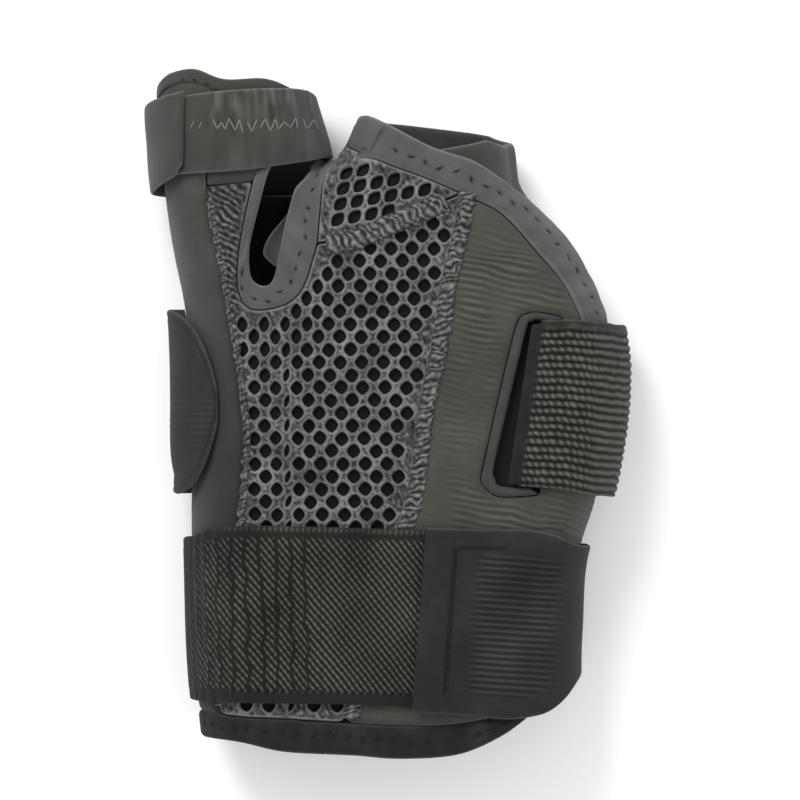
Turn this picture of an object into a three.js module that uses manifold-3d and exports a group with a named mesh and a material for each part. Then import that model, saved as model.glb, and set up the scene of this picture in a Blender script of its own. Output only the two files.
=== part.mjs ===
// A thumb spica splint that lies on its back, palm side up: fingers towards +Y, thumb towards -X.
// Millimetres, +Z up. The origin is at the middle of the underside.
import * as THREE from 'three';
import Module from 'manifold-3d';
import { mergeVertices } from 'three/addons/utils/BufferGeometryUtils.js';

// The whole sleeve, without what stands out from it
const HALF_LENGTH = 96.3;
const HALF_WIDTH = 68;
const PALM_RISE = 25.5;
const BACK_DROP = 16;
const THUMB_TUCK = 0.5;
const ROLL_POWER = 2.2;

// Cloth
const PANEL_THICKNESS = 3;
const NET_THICKNESS = 1.4;
const NET_GAP = 0.3;
const LAYER_GAP = 0.5;
const SEAM_GAP = 0.4;
const BINDING_RISE = 0.3;
const RIM_WIDTH = 2.6;
const WING_EDGE_RISE = 4;
const SEAM_OVERLAP = 1;

// Net
const HOLE_PITCH = 9.6;
const HOLE_ROW_PITCH = 5.2;
const HOLE_RADIUS = 2.6;
const HOLE_SIDES = 6;
const NET_BORDER = 1.1;
const WEB_NET_TURN = -0.35;

// Straps
const STRAP_THICKNESS = 1.8;
const STRAP_LIFT = 0.7;
const STRAP_STACK_GAP = 0.3;
const TAB_THICKNESS = 2.2;
const HAND_STRAP_WIDTH = 50;
const HAND_STRAP_SIDE_LIFT = 3.5;
const HAND_STRAP_LEFT_LIFT = 1;
const BEND_RADIUS = 3;
const BEND_REACH = 5;
const BEND_STATIONS = 5;
const STRAP_INLAY = 0.1;
const WRIST_STRAP_WIDTH = 50;
const WRIST_TAB_RAMP = 9.5;
const THUMB_STRAP_WIDTH = 24;
const THUMB_STRAP_THICKNESS = 1.5;
const THUMB_TAB_THICKNESS = 1.6;

// Lengthwise places of the straps' centre lines, as shares of the half length
const HAND_STRAP_PLACE = 0.02;
const WRIST_STRAP_PLACE = -0.593;
const THUMB_STRAP_PLACE = 0.814;

// Fineness of the faceted surfaces
const STATION_STEP = 12;
const ROLL_STEPS = 4;
const CURVE_STEPS = 2;

// Height of the side seam, where the front meets the back
const SEAM_HEIGHT = STRAP_THICKNESS + STRAP_LIFT + BACK_DROP;
const HIGH = SEAM_HEIGHT + 3 * PALM_RISE;
const LOW = -BACK_DROP;
const FAR = 1.3;

// Where the front's cut changes from one height to the other, as a share of the half width
const WING_START = 0.3;

// Cross-sections of the hand tube. along: share of the half length. left, right and the rolls: shares of
// the half width. rise: share of the palm's rise.
const HAND_SECTIONS = [
  { along: 0.927, left: -0.051, right: 0.525, leftRoll: 0.21, rightRoll: 0.18, rise: 0.6 },
  { along: 0.863, left: -0.113, right: 0.537, leftRoll: 0.22, rightRoll: 0.19, rise: 0.66 },
  { along: 0.753, left: -0.198, right: 0.562, leftRoll: 0.25, rightRoll: 0.2, rise: 0.73 },
  { along: 0.669, left: -0.389, right: 0.579, leftRoll: 0.3, rightRoll: 0.2, rise: 0.78 },
  { along: 0.608, left: -0.504, right: 0.64, leftRoll: 0.33, rightRoll: 0.21, rise: 0.83 },
  { along: 0.506, left: -0.554, right: 0.772, leftRoll: 0.35, rightRoll: 0.22, rise: 0.89 },
  { along: 0.36, left: -0.595, right: 0.887, leftRoll: 0.35, rightRoll: 0.23, rise: 0.94 },
  { along: 0.186, left: -0.657, right: 0.941, leftRoll: 0.35, rightRoll: 0.24, rise: 0.98 },
  { along: 0.041, left: -0.727, right: 0.941, leftRoll: 0.35, rightRoll: 0.25, rise: 1 },
  { along: -0.105, left: -0.78, right: 0.916, leftRoll: 0.35, rightRoll: 0.25, rise: 1 },
  { along: -0.25, left: -0.797, right: 0.875, leftRoll: 0.34, rightRoll: 0.26, rise: 0.98 },
  { along: -0.424, left: -0.793, right: 0.801, leftRoll: 0.33, rightRoll: 0.28, rise: 0.96 },
  { along: -0.657, left: -0.785, right: 0.78, leftRoll: 0.33, rightRoll: 0.29, rise: 0.94 },
  { along: -0.831, left: -0.768, right: 0.772, leftRoll: 0.33, rightRoll: 0.29, rise: 0.94 },
  { along: -1.049, left: -0.735, right: 0.747, leftRoll: 0.33, rightRoll: 0.29, rise: 0.94 },
];

// Cross-sections of the thumb tube, in the same shares
const THUMB_SECTIONS = [
  { along: 1.029, left: -0.937, right: -0.336, leftRoll: 0.26, rightRoll: 0.26, rise: 0.7 },
  { along: 0.927, left: -0.937, right: -0.315, leftRoll: 0.27, rightRoll: 0.27, rise: 0.71 },
  { along: 0.767, left: -0.924, right: -0.249, leftRoll: 0.28, rightRoll: 0.28, rise: 0.73 },
  { along: 0.622, left: -0.904, right: -0.229, leftRoll: 0.28, rightRoll: 0.28, rise: 0.75 },
  { along: 0.448, left: -0.863, right: -0.224, leftRoll: 0.28, rightRoll: 0.28, rise: 0.79 },
  { along: 0.317, left: -0.826, right: -0.224, leftRoll: 0.28, rightRoll: 0.28, rise: 0.83 },
  { along: 0.186, left: -0.813, right: -0.216, leftRoll: 0.28, rightRoll: 0.28, rise: 0.87 },
  { along: 0.041, left: -0.809, right: -0.208, leftRoll: 0.28, rightRoll: 0.28, rise: 0.9 },
  { along: -0.105, left: -0.809, right: -0.208, leftRoll: 0.28, rightRoll: 0.28, rise: 0.9 },
  { along: -0.192, left: -0.785, right: -0.208, leftRoll: 0.27, rightRoll: 0.27, rise: 0.89 },
  { along: -0.308, left: -0.73, right: -0.208, leftRoll: 0.25, rightRoll: 0.25, rise: 0.84 },
];

// Edges and seams seen from above, as [share of the half width, share of the half length]
const STAY_SEAM_UPPER = [[-0.632, 1.06], [-0.661, 0.936], [-0.71, 0.826], [-0.735, 0.66]];
const STAY_SEAM_LOWER = [
  [-0.735, 0.66], [-0.673, 0.419], [-0.632, 0.256], [-0.595, 0.09],
  [-0.574, -0.073], [-0.587, -0.221], [-0.644, -0.599], [-0.7, -0.95],
];
const PALM_SEAM = [
  [0.319, 0.64], [0.29, 0.52], [0.245, 0.392], [0.208, 0.221], [0.146, 0.006],
  [0.134, -0.076], [0.097, -0.25], [0.002, -0.453], [-0.109, -0.715], [-0.18, -0.95],
];
const GUSSET_SEAM = [[-0.278, 0.494], [-0.142, 0.506], [-0.019, 0.541], [0.105, 0.578], [0.319, 0.64]];
const STALL_EDGE = [[-0.735, 0.66], [-0.537, 0.674], [-0.505, 0.73], [-0.348, 0.737], [-0.232, 0.745]];
const WEB_OUTER_LEFT = [
  [-0.537, 0.674], [-0.574, 0.561], [-0.599, 0.448], [-0.599, 0.36], [-0.558, 0.308],
  [-0.471, 0.305], [-0.381, 0.328], [-0.327, 0.378], [-0.294, 0.45], [-0.278, 0.494],
];
const WEB_OUTER_RIGHT = [[-0.278, 0.494], [-0.266, 0.59], [-0.253, 0.68], [-0.208, 0.744]];
const WEB_INNER = [
  [-0.492, 0.674], [-0.529, 0.561], [-0.554, 0.477], [-0.546, 0.398], [-0.5, 0.372],
  [-0.459, 0.39], [-0.434, 0.465], [-0.406, 0.561], [-0.369, 0.645], [-0.315, 0.689], [-0.261, 0.735],
];
const FINGER_OUTER = [
  [-0.171, 0.898], [-0.113, 0.869], [-0.072, 0.872], [0.043, 0.831], [0.204, 0.773], [0.373, 0.733],
  [0.525, 0.663], [0.64, 0.593], [0.76, 0.503], [0.85, 0.395], [0.904, 0.302], [0.97, 0.201],
];
const FINGER_INNER_RADIAL = [[-0.224, 0.799], [-0.154, 0.779], [0.019, 0.724], [0.154, 0.689], [0.319, 0.64]];
const FINGER_INNER_ULNAR = [
  [0.319, 0.64], [0.373, 0.622], [0.492, 0.576], [0.624, 0.474], [0.735, 0.384], [0.809, 0.285], [0.838, 0.201],
];
const THUMB_TOP = [
  [-1.1, 0.87], [-0.966, 0.924], [-0.924, 0.971], [-0.875, 0.994], [-0.78, 1], [-0.657, 0.971],
  [-0.492, 0.974], [-0.397, 0.953], [-0.299, 0.913], [-0.22, 0.89],
];
const DORSAL_TOP = [
  [-0.204, 0.878], [-0.08, 0.869], [0.014, 0.858], [0.414, 0.823], [0.488, 0.808], [0.723, 0.767],
];
const WING_TOP = [[0.216, 0.776], [0.459, 0.808], [0.723, 0.767]];
const WING_INNER = [
  [0.216, 0.776], [0.253, 0.622], [0.29, 0.331], [0.249, -0.017], [0.187, -0.424], [0.146, -0.95],
];
const HEM_TOP = [
  [-1, -0.853], [-0.813, -0.858], [-0.611, -0.875], [-0.406, -0.881], [-0.2, -0.89], [0.064, -0.901],
  [0.311, -0.895], [0.558, -0.849], [0.723, -0.744], [0.95, -0.62],
];
const HEM_BOTTOM = [
  [-1, -0.94], [-0.813, -0.945], [-0.611, -0.953], [-0.406, -0.98], [-0.134, -0.99], [0.064, -1],
  [0.299, -0.988], [0.476, -0.936], [0.607, -0.872], [0.723, -0.802], [0.95, -0.68],
];

// Strap outlines, as [share of the half width, share of the strap's width from its centre line]
const HAND_STRAP_EDGE = [[0.597, 0.46], [0.5, -0.425]];
const HAND_STRAP_FRONT = [
  [0.599, 0.482], [0.764, 0.484], [0.891, 0.465], [0.986, 0.426], [1.134, 0.392],
  [1.134, -0.47], [0.945, -0.486], [0.834, -0.486], [0.721, -0.451], [0.5, -0.434],
];
const HAND_STRAP_BACK = [[-1.171, 0.51], [1.134, 0.392], [1.134, -0.47], [-1.171, -0.47]];
const HAND_TAB = [
  [-1.089, 0.532], [-0.83, 0.56], [-0.761, 0.507], [-0.714, 0.291], [-0.669, 0.006],
  [-0.694, -0.19], [-0.761, -0.392], [-0.836, -0.487], [-1.089, -0.498],
];
const SLOT_OUTER = [
  [0.731, 0.498], [0.632, 0.526], [0.583, 0.518], [0.544, 0.465], [0.48, 0.123], [0.406, -0.33],
  [0.397, -0.409], [0.418, -0.459], [0.476, -0.498], [0.632, -0.487],
];
const SLOT_INNER = [
  [0.69, 0.454], [0.632, 0.484], [0.599, 0.476], [0.579, 0.431], [0.5, -0.014], [0.447, -0.33],
  [0.451, -0.398], [0.476, -0.442], [0.591, -0.448],
];
const WRIST_STRAP_FRONT = [
  [-1.171, 0.409], [-0.809, 0.448], [-0.611, 0.521], [0.064, 0.504], [0.27, 0.504],
  [0.27, -0.5], [0.002, -0.476], [-0.772, -0.459], [-1.171, -0.459],
];
const WRIST_STRAP_BACK = [[-1.171, 0.409], [0.57, 0.45], [0.57, -0.43], [-1.171, -0.459]];
const WRIST_TAB_FRONT = [
  [0.169, 0.515], [0.406, 0.504], [0.585, 0.504], [0.69, 0.476], [0.793, 0.414], [1, 0.37],
  [1, -0.2], [0.813, -0.258], [0.768, -0.342], [0.719, -0.44], [0.663, -0.507], [0.606, -0.536],
  [0.492, -0.554], [0.323, -0.532], [0.113, -0.51], [0.148, -0.342], [0.173, -0.011], [0.183, 0.342],
];
const WRIST_TAB_BACK = [
  [0.58, 0.45], [1, 0.37], [1, -0.2], [0.813, -0.258], [0.768, -0.342], [0.719, -0.43], [0.58, -0.43],
];
const THUMB_STRAP_FRONT = [
  [-0.86, 0.36], [-0.8, 0.44], [-0.595, 0.502], [-0.369, 0.513], [-0.299, 0.432], [-0.183, 0.432],
  [-0.163, -0.18], [-0.28, -0.3], [-0.389, -0.362], [-0.595, -0.443], [-0.86, -0.48],
];
const THUMB_STRAP_BACK = [[-1.171, 0.14], [-0.163, 0.432], [-0.163, -0.18], [-1.171, -0.677]];
const THUMB_TAB = [
  [-0.801, 0.49], [-0.994, 0.198], [-1.13, 0.047], [-1.13, -0.828], [-0.966, -0.677],
  [-0.834, -0.513], [-0.801, -0.443],
];

const wasm = await Module();
wasm.setup();

// Turns a closed geometry into a solid that can be cut and joined
function solidOf(geometry) {
  geometry.deleteAttribute('normal');
  geometry.deleteAttribute('uv');
  const merged = mergeVertices(geometry, 1e-5);
  const mesh = new wasm.Mesh({
    numProp: 3,
    vertProperties: new Float32Array(merged.attributes.position.array),
    triVerts: new Uint32Array(merged.index.array),
  });
  return new wasm.Manifold(mesh);
}

// Value of one column of a section table at a place along the splint, on a smooth curve through the rows
function valueAt(rows, column, along) {
  const last = rows.length - 1;
  let i = 0;
  while (i < last - 1 && along < rows[i + 1].along) {
    i += 1;
  }
  const slope = (k) => {
    const before = rows[Math.max(k - 1, 0)];
    const after = rows[Math.min(k + 1, last)];
    return (after[column] - before[column]) / (after.along - before.along);
  };
  const span = rows[i + 1].along - rows[i].along;
  const t = THREE.MathUtils.clamp((along - rows[i].along) / span, 0, 1);
  const start = rows[i][column] * (2 * t ** 3 - 3 * t ** 2 + 1);
  const end = rows[i + 1][column] * (3 * t ** 2 - 2 * t ** 3);
  const startSlope = slope(i) * span * (t ** 3 - 2 * t ** 2 + t);
  const endSlope = slope(i + 1) * span * (t ** 3 - t ** 2);
  return start + end + startSlope + endSlope;
}

// One cross-section at a real place along the splint: a flattened stadium with rolled sides
function sectionAt(tube, y) {
  const along = y / HALF_LENGTH;
  const width = (column) => valueAt(tube.rows, column, along) * HALF_WIDTH;
  return {
    left: width('left'),
    right: width('right'),
    leftRoll: width('leftRoll'),
    rightRoll: width('rightRoll'),
    rise: valueAt(tube.rows, 'rise', along) * PALM_RISE,
    drop: tube.drop,
  };
}

const HAND_TUBE = { rows: HAND_SECTIONS, drop: BACK_DROP };
const THUMB_TUBE = { rows: THUMB_SECTIONS, drop: BACK_DROP - THUMB_TUCK };

// How far a layer lies outside the tube on each side
function layer(front, back = front, left = front, right = front, frontRight = front) {
  return { front, back, left, right, frontRight };
}

// Adds a thickness to a layer on every side
function thicker(base, amount) {
  const entries = Object.entries(base).map(([side, value]) => [side, value + amount]);
  return Object.fromEntries(entries);
}

function ring(section, grow, y) {
  const power = (value) => Math.sign(value) * Math.abs(value) ** (2 / ROLL_POWER);
  const points = [];
  const roll = (centre, reach, rise, drop, from) => {
    for (let i = 0; i <= 2 * ROLL_STEPS; i += 1) {
      const angle = from + (i * Math.PI) / (2 * ROLL_STEPS);
      const lift = power(Math.sin(angle));
      const height = lift > 0 ? lift * rise : lift * drop;
      points.push(new THREE.Vector3(centre + reach * power(Math.cos(angle)), y, SEAM_HEIGHT + height));
    }
  };
  const drop = section.drop + grow.back;
  const rightRise = section.rise + grow.frontRight;
  const leftRise = section.rise + grow.front;
  roll(section.right - section.rightRoll, section.rightRoll + grow.right, rightRise, drop, -Math.PI / 2);
  roll(section.left + section.leftRoll, section.leftRoll + grow.left, leftRise, drop, Math.PI / 2);
  return points;
}

// Skins a row of rings that have the same number of points, and closes both ends
function skin(rings) {
  const count = rings[0].length;
  const indices = [];
  for (let r = 0; r < rings.length - 1; r += 1) {
    for (let i = 0; i < count; i += 1) {
      const a = r * count + i;
      const b = r * count + ((i + 1) % count);
      indices.push(a, a + count, b, b, a + count, b + count);
    }
  }
  const cap = (points, base, flip) => {
    const flat = points.map((point) => new THREE.Vector2(point.x, point.z));
    for (const [a, b, c] of THREE.ShapeUtils.triangulateShape(flat, [])) {
      indices.push(base + a, base + (flip ? b : c), base + (flip ? c : b));
    }
  };
  cap(rings[0], 0, true);
  cap(rings[rings.length - 1], (rings.length - 1) * count, false);
  const geometry = new THREE.BufferGeometry();
  geometry.setFromPoints(rings.flat());
  geometry.setIndex(indices);
  return solidOf(geometry);
}

// A tube's solid, grown by a layer's distances, and by spare at both ends where it is cut out of another
function tubeSolid(tube, grow, spare) {
  const top = tube.rows[0].along * HALF_LENGTH;
  const bottom = tube.rows[tube.rows.length - 1].along * HALF_LENGTH;
  const steps = Math.ceil((top - bottom) / STATION_STEP);
  const rings = [];
  for (let i = 0; i <= steps; i += 1) {
    const y = bottom + ((top - bottom) * i) / steps;
    const end = i === 0 ? -spare : 0;
    rings.push(ring(sectionAt(tube, y), grow, y + (i === steps ? spare : end)));
  }
  return skin(rings);
}

function handShell(inner, outer) {
  return tubeSolid(HAND_TUBE, outer, 0).subtract(tubeSolid(HAND_TUBE, inner, 1));
}

function thumbShell(inner, outer) {
  return tubeSolid(THUMB_TUBE, outer, 0).subtract(tubeSolid(THUMB_TUBE, inner, 1));
}

// The hand and thumb tubes joined, with the thumb's side of the layer even all round
function bodyShell(inner, outer, thumbInner = inner, thumbOuter = outer) {
  const outside = tubeSolid(HAND_TUBE, outer, 0).add(tubeSolid(THUMB_TUBE, thumbOuter, 0));
  const inside = tubeSolid(HAND_TUBE, inner, 1).add(tubeSolid(THUMB_TUBE, thumbInner, 1));
  return outside.subtract(inside);
}

// Points of an edge in millimetres, on a smooth curve through its table
function edge(table) {
  const points = corners(table);
  return new THREE.SplineCurve(points).getPoints((points.length - 1) * CURVE_STEPS);
}

// Points of an outline in millimetres: lengths are shares of a unit, counted from a start
function corners(table, unit = HALF_LENGTH, start = 0) {
  return table.map(([across, along]) => new THREE.Vector2(across * HALF_WIDTH, start + along * unit));
}

function strapCorners(table, width, place) {
  return corners(table, width, place * HALF_LENGTH);
}

function backwards(points) {
  return [...points].reverse();
}

function shifted(points, distance) {
  return points.map((point) => new THREE.Vector2(point.x, point.y + distance));
}

// Moves every side of an outline inwards by a distance
function inset(points, distance) {
  const outline = points.filter((point, i) => point.distanceTo(points[(i + 1) % points.length]) > 1e-3);
  const turn = THREE.ShapeUtils.isClockWise(outline) ? -1 : 1;
  return outline.map((point, i) => {
    const before = outline[(i + outline.length - 1) % outline.length];
    const after = outline[(i + 1) % outline.length];
    const inDirection = point.clone().sub(before).normalize();
    const outDirection = after.clone().sub(point).normalize();
    const inNormal = new THREE.Vector2(-inDirection.y, inDirection.x);
    const outNormal = new THREE.Vector2(-outDirection.y, outDirection.x);
    const middle = inNormal.clone().add(outNormal).normalize();
    const reach = distance / Math.max(middle.dot(inNormal), 0.5);
    return point.clone().addScaledVector(middle, turn * reach);
  });
}

function prism(points, low = LOW, high = HIGH) {
  const shape = new THREE.Shape(points);
  const geometry = new THREE.ExtrudeGeometry(shape, { depth: high - low, bevelEnabled: false });
  geometry.translate(0, 0, low);
  return solidOf(geometry);
}

// A piece of a layer inside an outline, drawn in by half the seam gap
function field(points) {
  return prism(inset(points, SEAM_GAP / 2));
}

// Boundaries shared by the panels
const staySeamUpper = edge(STAY_SEAM_UPPER);
const staySeamLower = edge(STAY_SEAM_LOWER);
const palmSeam = edge(PALM_SEAM);
const gussetSeam = edge(GUSSET_SEAM);
const stallEdge = corners(STALL_EDGE);
const webOuterLeft = edge(WEB_OUTER_LEFT);
const webOuterRight = edge(WEB_OUTER_RIGHT);
const webInner = edge(WEB_INNER);
const fingerOuter = edge(FINGER_OUTER);
const fingerInnerRadial = edge(FINGER_INNER_RADIAL);
const fingerInnerUlnar = edge(FINGER_INNER_ULNAR);
const thumbTop = edge(THUMB_TOP);
const rimLine = shifted(thumbTop, -RIM_WIDTH);
const dorsalTop = edge(DORSAL_TOP);
const wingTop = corners(WING_TOP);
const wingInner = edge(WING_INNER);
const hemTop = edge(HEM_TOP);
const hemBottom = edge(HEM_BOTTOM);

const [farLeftTop, farRightTop, farRightBottom, farLeftBottom] = corners([
  [-FAR, FAR], [FAR, FAR], [FAR, -FAR], [-FAR, -FAR],
]);

// Everything on the finger side of the hem, and everything below the thumb's rim
const aboveHem = field([farLeftTop, ...hemTop, farRightTop]);
const belowThumbRim = field([...rimLine, farRightTop, farRightBottom, farLeftBottom]);

// The front of the splint: down to the side seam on the thumb side, and to the wing's edge on the other
const [splitBottom, splitTop] = corners([[WING_START, -FAR], [WING_START, FAR]]);
const front = prism([farLeftTop, farLeftBottom, splitBottom, splitTop], SEAM_HEIGHT + SEAM_GAP / 2)
  .add(prism([farRightTop, farRightBottom, splitBottom, splitTop], SEAM_HEIGHT + WING_EDGE_RISE));

// Layers of the wall, as distances outside the tube
const WALL_INNER = layer(-PANEL_THICKNESS);
const WALL_OUTER = layer(0);
const BINDING_OUTER = layer(BINDING_RISE);
const NET_INNER = layer(-NET_THICKNESS);
const LINING_OUTER = layer(-NET_THICKNESS - NET_GAP);
const NEST = PANEL_THICKNESS + LAYER_GAP;
const DORSAL_OUTER = layer(-NEST, 0, 0, -NEST);
const DORSAL_INNER = thicker(DORSAL_OUTER, -PANEL_THICKNESS);

const frontWall = bodyShell(WALL_INNER, WALL_OUTER).intersect(front);
const frontBinding = bodyShell(WALL_INNER, BINDING_OUTER).intersect(front);
const frontNet = bodyShell(NET_INNER, WALL_OUTER).intersect(front);
const frontLining = bodyShell(WALL_INNER, LINING_OUTER).intersect(front);
const dorsalWall = bodyShell(DORSAL_INNER, DORSAL_OUTER, WALL_INNER, WALL_OUTER);

function stayPanel() {
  const outline = [farLeftTop, ...staySeamUpper, ...staySeamLower, farLeftBottom];
  return frontWall.intersect(field(outline)).intersect(aboveHem).intersect(belowThumbRim);
}

function thumbStall() {
  const corner = new THREE.Vector2(stallEdge[stallEdge.length - 1].x, farRightTop.y);
  const outline = [...staySeamUpper, ...stallEdge, corner];
  return frontWall.intersect(field(outline)).intersect(belowThumbRim);
}

function thumbRim() {
  const outline = [...thumbTop, ...backwards(rimLine)];
  return thumbShell(WALL_INNER, BINDING_OUTER).intersect(field(outline));
}

const palmNetOutline = [
  ...staySeamLower, ...backwards(palmSeam), ...backwards(gussetSeam), ...backwards(webOuterLeft),
];
const webNetOutline = [...gussetSeam, ...backwards(fingerInnerRadial), ...backwards(webOuterRight)];
const liningOutline = [
  ...staySeamLower, ...backwards(palmSeam), ...backwards(fingerInnerRadial),
  ...backwards(webOuterRight), ...backwards(webOuterLeft),
];

function isInside(point, outline) {
  let inside = false;
  outline.forEach((start, i) => {
    const end = outline[(i + 1) % outline.length];
    const crosses = (start.y > point.y) !== (end.y > point.y);
    const x = start.x + ((point.y - start.y) * (end.x - start.x)) / (end.y - start.y);
    if (crosses && point.x < x) {
      inside = !inside;
    }
  });
  return inside;
}

function hexagon(centre, radius) {
  return Array.from({ length: HOLE_SIDES }, (_, i) => {
    const angle = (i * 2 * Math.PI) / HOLE_SIDES;
    return new THREE.Vector2(centre.x + radius * Math.cos(angle), centre.y + radius * Math.sin(angle));
  });
}

// Rows of six-sided holes in a net, each row half a pitch along from the last, turned by an angle. Only
// whole holes that keep a border are cut, and none under the wrist strap.
function netHoles(outline, turn) {
  const reach = 2 * HALF_LENGTH;
  const rows = Math.ceil(reach / HOLE_ROW_PITCH);
  const columns = Math.ceil(reach / HOLE_PITCH);
  const strapTop = WRIST_STRAP_PLACE * HALF_LENGTH + WRIST_STRAP_WIDTH / 2;
  const holes = [];
  for (let row = -rows; row <= rows; row += 1) {
    for (let column = -columns; column <= columns; column += 1) {
      const offset = row % 2 === 0 ? 0 : 0.5;
      const centre = new THREE.Vector2((column + offset) * HOLE_PITCH, row * HOLE_ROW_PITCH);
      centre.rotateAround(new THREE.Vector2(0, 0), turn);
      const border = hexagon(centre, HOLE_RADIUS + NET_BORDER);
      if (centre.y > strapTop && border.every((corner) => isInside(corner, outline))) {
        holes.push(prism(hexagon(centre, HOLE_RADIUS), SEAM_HEIGHT));
      }
    }
  }
  return wasm.Manifold.union(holes);
}

function palmMesh() {
  return frontNet.intersect(field(palmNetOutline)).intersect(aboveHem).subtract(netHoles(palmNetOutline, 0));
}

function webMesh() {
  return frontNet.intersect(field(webNetOutline)).subtract(netHoles(webNetOutline, WEB_NET_TURN));
}

function palmLining() {
  return frontLining.intersect(prism(inset(liningOutline, SEAM_GAP))).intersect(aboveHem);
}

function ulnarPanel() {
  const bindingEnd = fingerInnerUlnar[fingerInnerUlnar.length - 1];
  const corner = new THREE.Vector2(farRightTop.x, bindingEnd.y);
  const outline = [...palmSeam, farRightBottom, corner, ...backwards(fingerInnerUlnar)];
  const slotEdge = strapCorners(SLOT_OUTER, HAND_STRAP_WIDTH, HAND_STRAP_PLACE);
  const slot = prism(inset(slotEdge, -SEAM_GAP / 2));
  return frontWall.intersect(field(outline)).intersect(aboveHem).subtract(slot);
}

function slotBinding() {
  const outer = prism(inset(strapCorners(SLOT_OUTER, HAND_STRAP_WIDTH, HAND_STRAP_PLACE), SEAM_GAP / 2));
  const inner = prism(strapCorners(SLOT_INNER, HAND_STRAP_WIDTH, HAND_STRAP_PLACE));
  return frontBinding.intersect(outer).subtract(inner);
}

function webBinding() {
  return frontBinding.intersect(field([...webOuterLeft, ...webOuterRight, ...backwards(webInner)]));
}

function fingerBinding() {
  const corner = new THREE.Vector2(farRightTop.x, fingerInnerUlnar[fingerInnerUlnar.length - 1].y);
  const inner = [...backwards(fingerInnerUlnar), ...backwards(fingerInnerRadial)];
  return frontBinding.intersect(field([...fingerOuter.slice(0, -1), corner, ...inner]));
}

const everywhere = [farLeftTop, farLeftBottom, farRightBottom, farRightTop];

// The back wall runs round the little-finger side and on under the ulnar panel as a wing
const wingOutline = [...wingTop, ...corners([[FAR, 0.7]]), farRightBottom, ...backwards(wingInner)];
const backOutline = [...rimLine, ...dorsalTop, farRightTop, farRightBottom, farLeftBottom];
const backRegion = field(backOutline).intersect(prism(everywhere, LOW, SEAM_HEIGHT - SEAM_GAP / 2));
const wingRegion = field(wingOutline).intersect(prism(everywhere, SEAM_HEIGHT - SEAM_OVERLAP));
const dorsalRegion = backRegion.add(wingRegion);

function dorsalPanel() {
  return dorsalWall.intersect(dorsalRegion).intersect(aboveHem);
}

function wristHem() {
  const shell = handShell(WALL_INNER, BINDING_OUTER);
  return shell.intersect(field([...hemTop, ...backwards(hemBottom)]));
}

// The end of the hand strap comes up through the slot from the wing and bends over onto the panel. Its
// section is drawn in millimetres from the strap's visible edge and from the panel's surface.
function slotBend() {
  const top = STRAP_LIFT + STRAP_THICKNESS - STRAP_INLAY;
  const under = STRAP_LIFT + STRAP_INLAY;
  const foot = STRAP_STACK_GAP - NEST;
  const profile = [
    [BEND_REACH, top], [BEND_RADIUS, top], [BEND_RADIUS / 4, top - BEND_RADIUS / 4],
    [0, under - STRAP_THICKNESS / 2], [0, foot], [STRAP_THICKNESS, foot],
    [STRAP_THICKNESS, under - STRAP_THICKNESS], [BEND_RADIUS, under], [BEND_REACH, under],
  ];
  const [start, end] = strapCorners(HAND_STRAP_EDGE, HAND_STRAP_WIDTH, HAND_STRAP_PLACE);
  const rings = [];
  for (let i = 0; i <= BEND_STATIONS; i += 1) {
    const place = end.clone().lerp(start, i / BEND_STATIONS);
    const surface = SEAM_HEIGHT + sectionAt(HAND_TUBE, place.y).rise;
    rings.push(profile.map(([x, z]) => new THREE.Vector3(place.x + x, place.y, surface + z)));
  }
  return skin(rings);
}

// What the bend takes the place of at the strap's visible edge
function bendField() {
  const [start, end] = strapCorners(HAND_STRAP_EDGE, HAND_STRAP_WIDTH, HAND_STRAP_PLACE);
  const beside = new THREE.Vector2(BEND_RADIUS + STRAP_INLAY, 0);
  const beyond = start.clone().sub(end).multiplyScalar(1 / BEND_STATIONS);
  const first = start.clone().add(beside).add(beyond);
  const last = end.clone().add(beside).sub(beyond);
  return prism([new THREE.Vector2(0, first.y), first, last, new THREE.Vector2(0, last.y)], SEAM_HEIGHT);
}

function handStrap() {
  const inner = layer(STRAP_LIFT, STRAP_LIFT, HAND_STRAP_LEFT_LIFT, HAND_STRAP_SIDE_LIFT);
  const shell = bodyShell(inner, thicker(inner, STRAP_THICKNESS));
  const place = (table) => strapCorners(table, HAND_STRAP_WIDTH, HAND_STRAP_PLACE);
  const frontPart = prism(place(HAND_STRAP_FRONT), SEAM_HEIGHT - SEAM_OVERLAP);
  const backPart = prism(place(HAND_STRAP_BACK), LOW, SEAM_HEIGHT);
  const [middleBottom, middleTop] = corners([[0, -FAR], [0, FAR]]);
  const underTab = prism([farLeftTop, farLeftBottom, middleBottom, middleTop], SEAM_HEIGHT - BACK_DROP / 4);
  return shell.intersect(frontPart.add(backPart)).subtract(underTab).subtract(bendField()).add(slotBend());
}

function handStrapTab() {
  const below = HAND_STRAP_LEFT_LIFT + STRAP_THICKNESS + STRAP_STACK_GAP;
  const inner = layer(STRAP_LIFT, below, below, below);
  const shell = bodyShell(inner, thicker(inner, TAB_THICKNESS));
  const outline = strapCorners(HAND_TAB, HAND_STRAP_WIDTH, HAND_STRAP_PLACE);
  return shell.intersect(prism(outline, SEAM_HEIGHT - BACK_DROP / 2));
}

function wristStrap() {
  const inner = layer(STRAP_LIFT);
  const shell = handShell(inner, thicker(inner, STRAP_THICKNESS));
  const place = (table) => strapCorners(table, WRIST_STRAP_WIDTH, WRIST_STRAP_PLACE);
  const frontPart = prism(place(WRIST_STRAP_FRONT), SEAM_HEIGHT);
  return shell.intersect(frontPart.add(prism(place(WRIST_STRAP_BACK), LOW, SEAM_HEIGHT)));
}

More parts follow.
